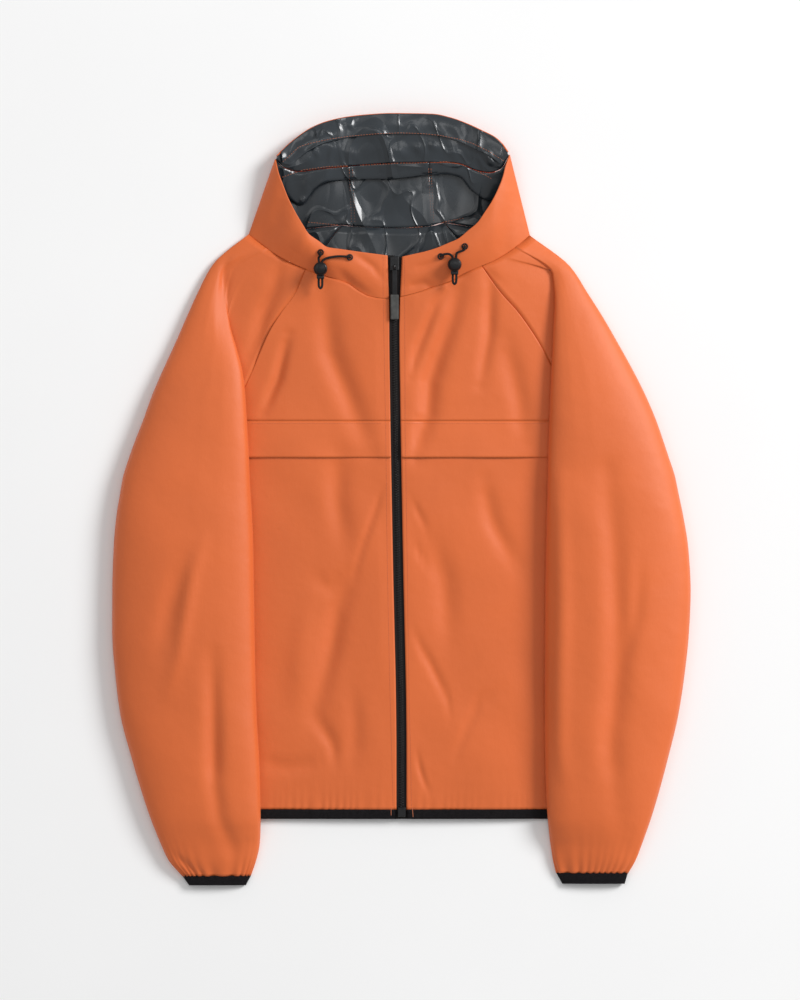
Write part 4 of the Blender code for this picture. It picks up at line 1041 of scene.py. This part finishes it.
FINISH = {
    "shell": shell_cloth(),
    "inside": inside_cloth(),
    "knit": knit(),
    "tape": tape_weave(),
    "metal": moulded("black_metal_lacquer", (0.016, 0.016, 0.017), 0.32, 0.5),
    "plastic": moulded("black_plastic_moulded", (0.008, 0.008, 0.009), 0.3, level=0.3),
    "rubber": moulded("grey_rubber_moulded", (0.06, 0.06, 0.057), 0.6, level=0.3, grain=1200.0),
    "teeth": moulded("zip_teeth_nylon", (0.016, 0.014, 0.014), 0.4),
    "braid": braid(),
    "orange_thread": thread("orange_thread", (0.55, 0.16, 0.07)),
    "shell_thread": thread("shell_thread", (0.62, 0.14, 0.05)),
}
SLOTS = {"shell": "coated_shell", "inside": "coated_inside", "knit": "elastic_binding", "tape": "zip_tape"}

# From grids to pieces


def mesh_piece(name, points, faces, finishes, slot, body="jacket"):
    mesh = bpy.data.meshes.new(name)
    mesh.from_pydata((np.asarray(points).reshape(-1, 3) * MM).tolist(), [], faces)
    for finish in finishes:
        mesh.materials.append(FINISH[finish])
    mesh.shade_smooth()
    made = bpy.data.objects.new(name, mesh)
    bpy.context.scene.collection.objects.link(made)
    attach(made, body)
    return made


def cut_of(grid):
    """Width, length and area in square metres of the flat cut behind a grid."""
    down, across = np.diff(grid, axis=0), np.diff(grid, axis=1)
    length = np.linalg.norm(down, axis=-1).sum(0).max() * MM
    width = np.linalg.norm(across, axis=-1).sum(1).max() * MM
    area = np.linalg.norm(np.cross(down[:, :-1], across[:-1]), axis=-1).sum() * MM * MM
    return (width, length), min(area, width * length)


def cloth(
    node,
    grid,
    outside=(0.5, 0.5, UP),
    finishes=("shell", "inside"),
    closed=False,
    inner_rim=False,
):
    """A node's cloth with its two faces.

    outside gives a place on it, as shares of its rows and columns, and the way its outside faces.
    """
    rows, columns = grid.shape[:2]
    down, across, way = outside
    if np.dot(normals_of(grid)[int(down * (rows - 1)), int(across * (columns - 1))], way) < 0:
        grid = grid[:, ::-1]
    index = numbered(grid)
    if closed:
        index = np.concatenate([index, index[:, :1]], 1)
    made = mesh_piece(f"{node}_cloth", grid, quads_of(index), finishes, SLOTS[finishes[0]])
    wall = made.modifiers.new("Wall", "SOLIDIFY")
    wall.thickness = CLOTH * MM
    wall.offset = 0.0
    wall.material_offset = len(finishes) - 1
    wall.material_offset_rim = len(finishes) - 1 if inner_rim else 0
    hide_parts(node)
    flat, area = cut_of(grid)


def merged(shapes):
    """Several (points, faces) as one."""
    points, faces, count = [], [], 0
    for some, their_faces in shapes:
        points.append(some)
        faces += [[k + count for k in face] for face in their_faces]
        count += len(some)
    return np.concatenate(points), faces


def tube(line, radius, sides=6):
    """A round bar along a line of points."""
    line = np.asarray(line, float)
    along = np.gradient(line, axis=0)
    along /= np.maximum(np.linalg.norm(along, axis=1, keepdims=True), TINY)
    across = np.cross(along, UP)
    flat = np.linalg.norm(across, axis=1, keepdims=True)
    across = np.where(flat > 1e-3, across / np.maximum(flat, TINY), (1.0, 0.0, 0.0))
    up = np.cross(across, along)
    angles = np.arange(sides)[None, :, None] * 2 * math.pi / sides
    radius = np.broadcast_to(radius, len(line))[:, None, None]
    ring = across[:, None] * np.cos(angles) + up[:, None] * np.sin(angles)
    points = (line[:, None] + ring * radius).reshape(-1, 3)
    rings = np.arange(len(points)).reshape(len(line), sides)
    around = np.concatenate([rings, rings[:, :1]], 1)
    return points, [*quads_of(around.T), rings[0, ::-1].tolist(), rings[-1].tolist()]


def on_plan(line):
    """A line seen from above as points on the floor."""
    return np.column_stack([np.array(line, float), np.zeros(len(line))])


def stitched(name, lines, trees, finish, pitch=3.4, length=2.5, thickness=0.32):
    """Rows of stitches that lie on the cloth along lines seen from above."""
    shapes = []
    for line in map(on_plan, lines):
        run = run_of(line)[-1]
        for start in np.arange(0, run - length, pitch):
            ends = polyline(line, np.array((start, start + length / 2, start + length)) / run)
            tops = [on_top(trees, x, y) for x, y, _ in ends]
            if None not in tops:
                ends[:, 2] = np.array(tops) + CLOTH / 2 + STITCH_ARCH
                shapes.append(tube(ends, (thickness * 0.6, thickness, thickness * 0.6), 5))
    mesh_piece(name, *merged(shapes), (finish,), "coated_shell")


def seam_tapes(trees):
    """The glossy tapes over the inside of the hood's seams, laid on the cloth."""
    shapes = []
    for line in map(on_plan, SEAM_TAPES):
        middle = polyline(line, np.linspace(0, 1, TAPE_ROWS))
        along = np.gradient(middle, axis=0)
        aside = np.stack([-along[:, 1], along[:, 0]], 1) / np.linalg.norm(along, axis=1, keepdims=True)
        rows = []
        for place, way in zip(middle, aside):
            for share in np.linspace(-0.5, 0.5, TAPE_COLUMNS):
                x, y = place[:2] + way * share * TAPE_WIDTH
                above = TAPE_HEIGHT if abs(share) < 0.45 else TAPE_HEIGHT - 0.3
                rows.append((x, y, (on_top(trees, x, y) or 0.0) + CLOTH / 2 + above))
        index = np.arange(len(rows)).reshape(TAPE_ROWS, TAPE_COLUMNS)
        shapes.append((np.array(rows), quads_of(index.T)))
    mesh_piece("hood_seam_tapes", *merged(shapes), ("inside",), "coated_inside")


def zip_teeth(ys):
    """Both rows of the zip's coil, a turn of nylon for each tooth."""
    shapes = []
    for k, y in enumerate(np.arange(ys.min() + 6, ys.max() - 12, TOOTH_PITCH)):
        side = 1 if k % 2 else -1
        x = float(zip_x(y))
        z = float(front_height(x, y)) - LAYER + 0.6
        turn = ((x - side * 0.6, y, z), (x + side, y + 0.25, z + 0.55), (x + side * 2.6, y + 0.5, z - 0.2))
        shapes.append(tube(turn, (0.55, 0.7, 0.5), 5))
    mesh_piece("zip_teeth", *merged(shapes), ("teeth",), "zip_tape")


def drawcord(side, name, trees):
    """The cord out of one eyelet, through the toggle, round its loop and back to the other."""
    (far, far_up), (near, near_up) = [map(np.array, top_of(trees, *place)) for place in EYELETS[side]]
    centre = np.array((*TOGGLE[side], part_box(f"toggle_body_{name}")[0][2] / MM + STRAND_Z))
    out, back = side * STRAND, -side * STRAND
    route = [far + far_up * 1.2, far + far_up * 5.0, far + far_up * 6.2 - (0, 3.0, 0)]
    through = ((out * 1.2, 13.0, 0.4), (out, 8.0, 0), (out, -8.0, 0), (out * 1.15, -15.0, -0.6))
    through += ((out, -20.6, -1.0), (0, -23.2, -1.2), (back, -20.6, -1.0), (back * 1.15, -15.0, -0.6))
    through += ((back, -8.0, 0), (back, 8.0, 0), (back * 2.2, 11.4, 0.4))
    route += [centre + step for step in through]
    leaves = route[-1]
    route += [mix(leaves, near + near_up * 4.8, share) + (0, 1.9, 0.2) for share in (0.3, 0.6)]
    route += [near + near_up * 4.4, near + near_up * 1.2]
    run = run_of(route)
    at = np.linspace(0, run[-1], int(run[-1] / CORD_STEP))
    line = smooth(run, route, at) * MM
    curve = bpy.data.curves.new(f"drawcord_{name}", "CURVE")
    curve.dimensions = "3D"
    curve.bevel_depth = CORD / 2 * MM
    curve.bevel_resolution = 4
    curve.use_fill_caps = True
    spline = curve.splines.new("POLY")
    spline.points.add(len(line) - 1)
    for point, place in zip(spline.points, line):
        point.co = (*place, 1)
    curve.materials.append(FINISH["braid"])
    made = bpy.data.objects.new(f"drawcord_{name}", curve)
    bpy.context.scene.collection.objects.link(made)
    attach(made, "jacket")
    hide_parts(f"cord_{name}")
    length = float(run_of(line)[-1])
    tuple(line[0])


# The jacket


def sleeve_pieces(side, name, cap, low):
    """A sleeve's two panels and its cuff; gives back its sections, as modelled and as draped."""
    sleeve = sleeve_grid(side, np.concatenate([cap, low[1:4]]), arm_ys(side), SLEEVE_STEPS)
    draped = sleeve_cloth(side, sleeve)
    edge = SLEEVE_EDGE * SLEEVE_FINE[1]
    cloth(f"sleeve_front_{name}", draped[:, : edge + 1], (0.6, 0.7, UP))
    cloth(f"sleeve_back_{name}", draped[:, edge:], (0.6, 0.5, DOWN))
    cuff = refine(seamed(cuff_grid(side, sleeve), ("first",)), *SLEEVE_FINE)
    cloth(f"cuff_{name}", cuff, finishes=("knit",), closed=True)
    return sleeve, draped


def front_pieces(side, name, cap, zip_ys, low):
    """A front's yoke, lower panel and vent flap, in that order, as modelled and as draped."""
    grids = {
        "front_upper": front_rows(side, cap, zip_ys, FRONT_COLUMNS),
        "front_lower": front_rows(side, low, low, FRONT_COLUMNS),
        "vent_flap": seamed(front_rows(side, low[:3], low[:3], FRONT_COLUMNS, LAYER), ("last",)),
    }
    draped = []
    for part, grid in grids.items():
        grid = refine(grid, 8, 14)
        x, y = grid[..., 0], grid[..., 1]
        draped.append(lifted(grid, drape(x, y) + at_flap(part, x, y)))
        cloth(f"{part}_{name}", draped[-1])
    return list(grids.values()), draped


def hood_side_piece(side, name, hood, wing_count, facets):
    """A side of the hood: folds on its wing, creases in its part of the crown."""
    wall = seamed(seamed(hood, ("first", "last")), ("start", "end"), GAP)
    fine_rows = 6
    grid = refine(wall, fine_rows, 8)
    x, y = grid[..., 0], grid[..., 1]
    from_zip = np.arange(len(grid))[::-side, None]
    behind = np.clip((from_zip - wing_count * fine_rows + 3) / 12, 0, 1)
    grid = lifted(grid, creases(facets, x, y) * behind * off_floor(grid))
    grid = lifted(grid, (folds_at(WING_FOLDS, x, y) + 0.8 * waves(x, y)) * (1 - behind))
    wing_at = 0.2 if side == LEFT else 0.8
    cloth(f"hood_side_{name}", grid, (wing_at, 0.5, UP))
    return grid


def side_pieces(side, name, seam_x, back, facets):
    """All of one side; gives back its lower front, its edge of the crown, its cloth and its zip's rows."""
    cap, low = cap_ys(side), lower_ys()
    sleeve, draped_sleeve = sleeve_pieces(side, name, cap, low)
    zip_ys = np.linspace(FRONT_NECK[side]["y"][0], YOKE_Y, len(cap))
    (upper, lower, _), draped = front_pieces(side, name, cap, zip_ys, low)
    wing_foot, back_foot = hood_feet(side, upper[0], sleeve[0], back[-1], seam_x)
    hood = hood_side(side, wing_foot, back_foot, HOOD_STEPS)
    draped_hood = hood_side_piece(side, name, hood, len(wing_foot), facets)
    drawcord(side, name, [tree_of(grid) for grid in (hood, upper, sleeve)])
    crown = slice(-len(back_foot), None) if side == LEFT else slice(len(back_foot))
    hood_ys = hood[0 if side == LEFT else -1][::-1, 1]
    ys = np.concatenate([hood_ys, zip_ys[1:], low[1:], [HEM_Y - BINDING]])
    tape = refine(tape_grid(side, ys)[::side], 6, 3)
    cloth(f"zip_tape_{name}", tape, finishes=("tape",))
    return lower, hood[crown, -1], [*draped, draped_sleeve, draped_hood], ys


def hem_piece(fronts, back):
    """The binding round the hem, gathered where it lies on the fronts."""
    hem = refine(seamed(hem_grid(fronts, back), ("first", "start", "end")), 5, 8)
    front_side = np.clip((hem[..., 2] - FLOOR - 2 * LAYER) / 2, 0, 1)
    hem = lifted(hem, hem_gathers(hem[..., 0], hem[..., 1]) * 0.7 * front_side)
    cloth("hem_binding", hem, (0.5, 0.1, UP), ("knit",))
    return hem


def crown_piece(centre, facets):
    """The middle panel of the hood."""
    grid = refine(seamed(centre, ALL_ROUND), 12, 8)
    grid = lifted(grid, creases(facets, grid[..., 0], grid[..., 1]) * off_floor(grid))
    cloth("hood_centre", grid, (0.5, 0.05, DOWN), inner_rim=True)
    return grid


def rim_piece(node, grid, way, finishes, facets):
    """The hood's front band or its facing, creased between its edges."""
    grid = refine(grid, 10, 8)
    share = np.linspace(0, 1, len(grid))[:, None]
    still = np.sin(math.pi * np.clip(share, 0.02, 0.98)) ** 0.5
    grid = lifted(grid, creases(facets, grid[..., 0], grid[..., 1]) * still)
    cloth(node, grid, (0.5, 0.5, way), finishes, inner_rim=True)
    return grid


def build():
    back = back_grid(FRONT_COLUMNS)
    cloth("back_body", refine(seamed(back, ALL_ROUND), 4, 6), (0.5, 0.5, DOWN))
    facets = crumple(17.0, 1.7, ((-190, 300), (180, 490)), seed=5)
    fronts, crowns, tops = {}, {}, []
    for (side, name), seam_x in zip(SIDES, CROWN_SEAMS):
        fronts[side], crowns[side], draped, ys = side_pieces(side, name, seam_x, back, facets)
        tops += draped
    tops.append(hem_piece(fronts, back))
    centre = hood_centre(back[-1], CENTRE_COLUMNS, HOOD_STEPS)
    tops.append(crown_piece(centre, facets))
    seam = np.concatenate([crowns[LEFT], centre[1:-1, -1], crowns[RIGHT]])
    at = [np.linspace(0, CROWN_AT[0], len(crowns[LEFT])), np.linspace(*CROWN_AT, CENTRE_COLUMNS)[1:-1]]
    at.append(np.linspace(CROWN_AT[1], 1, len(crowns[RIGHT])))
    band = band_grid(seam, np.concatenate(at), 3)
    wall = seamed(seamed(seamed(band, ("last",)), ("first",), BAND_INSET), ("start", "end"), BAND_END)
    tops.append(rim_piece("hood_band", wall, DOWN, ("shell", "inside"), facets))
    roll = tube(tops[-1][-1] + (0, 0, 0.3), RIM_ROLL, 8)
    mesh_piece("hood_rim_roll", *roll, ("shell",), "coated_shell")
    facing = seamed(facing_grid(band), ALL_ROUND)
    tops.append(rim_piece("hood_facing", facing, UP, ("inside",), facets))
    trees = [tree_of(grid) for grid in tops]
    seam_tapes(trees)
    stitched("hood_stitching", HOOD_STITCHES, trees, "orange_thread")
    stitched("front_stitching", FRONT_STITCHES, trees, "shell_thread", 3.0, 2.3, 0.26)
    stitched("bar_tacks", BAR_TACKS, trees, "orange_thread", 1.0, 1.8, 0.5)
    zip_teeth(ys)
    for node, finish in HARD.items():
        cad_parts[node].data.materials.clear()
        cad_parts[node].data.materials.append(FINISH[finish])


HARD = {"zip_slider": "metal", "zip_pull_link": "metal", "zip_pull_tab": "rubber", "zip_bottom_stop": "metal"}
for side, name in SIDES:
    HARD |= {f"eyelet_{name}_{k}": "metal" for k in (1, 2)}
    HARD |= {f"toggle_body_{name}": "plastic", f"toggle_button_{name}": "plastic"}


# The studio


def floor():
    bpy.ops.mesh.primitive_plane_add(size=12, location=(0, 0, -0.0003))
    made = bpy.context.object
    made.name = "floor"
    made.data.materials.append(floor_finish())


def light(name, place, size, power):
    lamp = bpy.data.lights.new(name, "AREA")
    lamp.shape = "DISK"
    lamp.size = size
    lamp.energy = power
    made = bpy.data.objects.new(name, lamp)
    made.location = place
    made.rotation_euler = (-Vector(place)).to_track_quat("-Z", "Y").to_euler()
    bpy.context.scene.collection.objects.link(made)


def camera():
    """Straight above, as far off as a long lens, framed as the photograph is."""
    made = bpy.data.cameras.new("camera")
    made.sensor_fit = "VERTICAL"
    made.angle = 2 * math.atan(PICTURE_HEIGHT / 2 / (CAMERA_HEIGHT - CLOTH_TOP))
    made.clip_end = 50
    seen = bpy.data.objects.new("camera", made)
    seen.location = (*PICTURE_MIDDLE, CAMERA_HEIGHT)
    bpy.context.scene.collection.objects.link(seen)
    bpy.context.scene.camera = seen


def surroundings():
    world = bpy.data.worlds.new("studio")
    world.use_nodes = True
    sky = world.node_tree.nodes["Background"]
    sky.inputs["Color"].default_value = (1.0, 1.0, 1.0, 1.0)
    sky.inputs["Strength"].default_value = 0.47
    bpy.context.scene.world = world
    bpy.context.scene.view_settings.view_transform = "Standard"
    light("key", (5.6, 3.2, 4.2), 3.0, 500)
    light("fill", (-3.0, 2.0, 5.5), 3.0, 22)
    light("top", (0.5, 1.5, 5.0), 1.6, 14)


build()
floor()
camera()
surroundings()
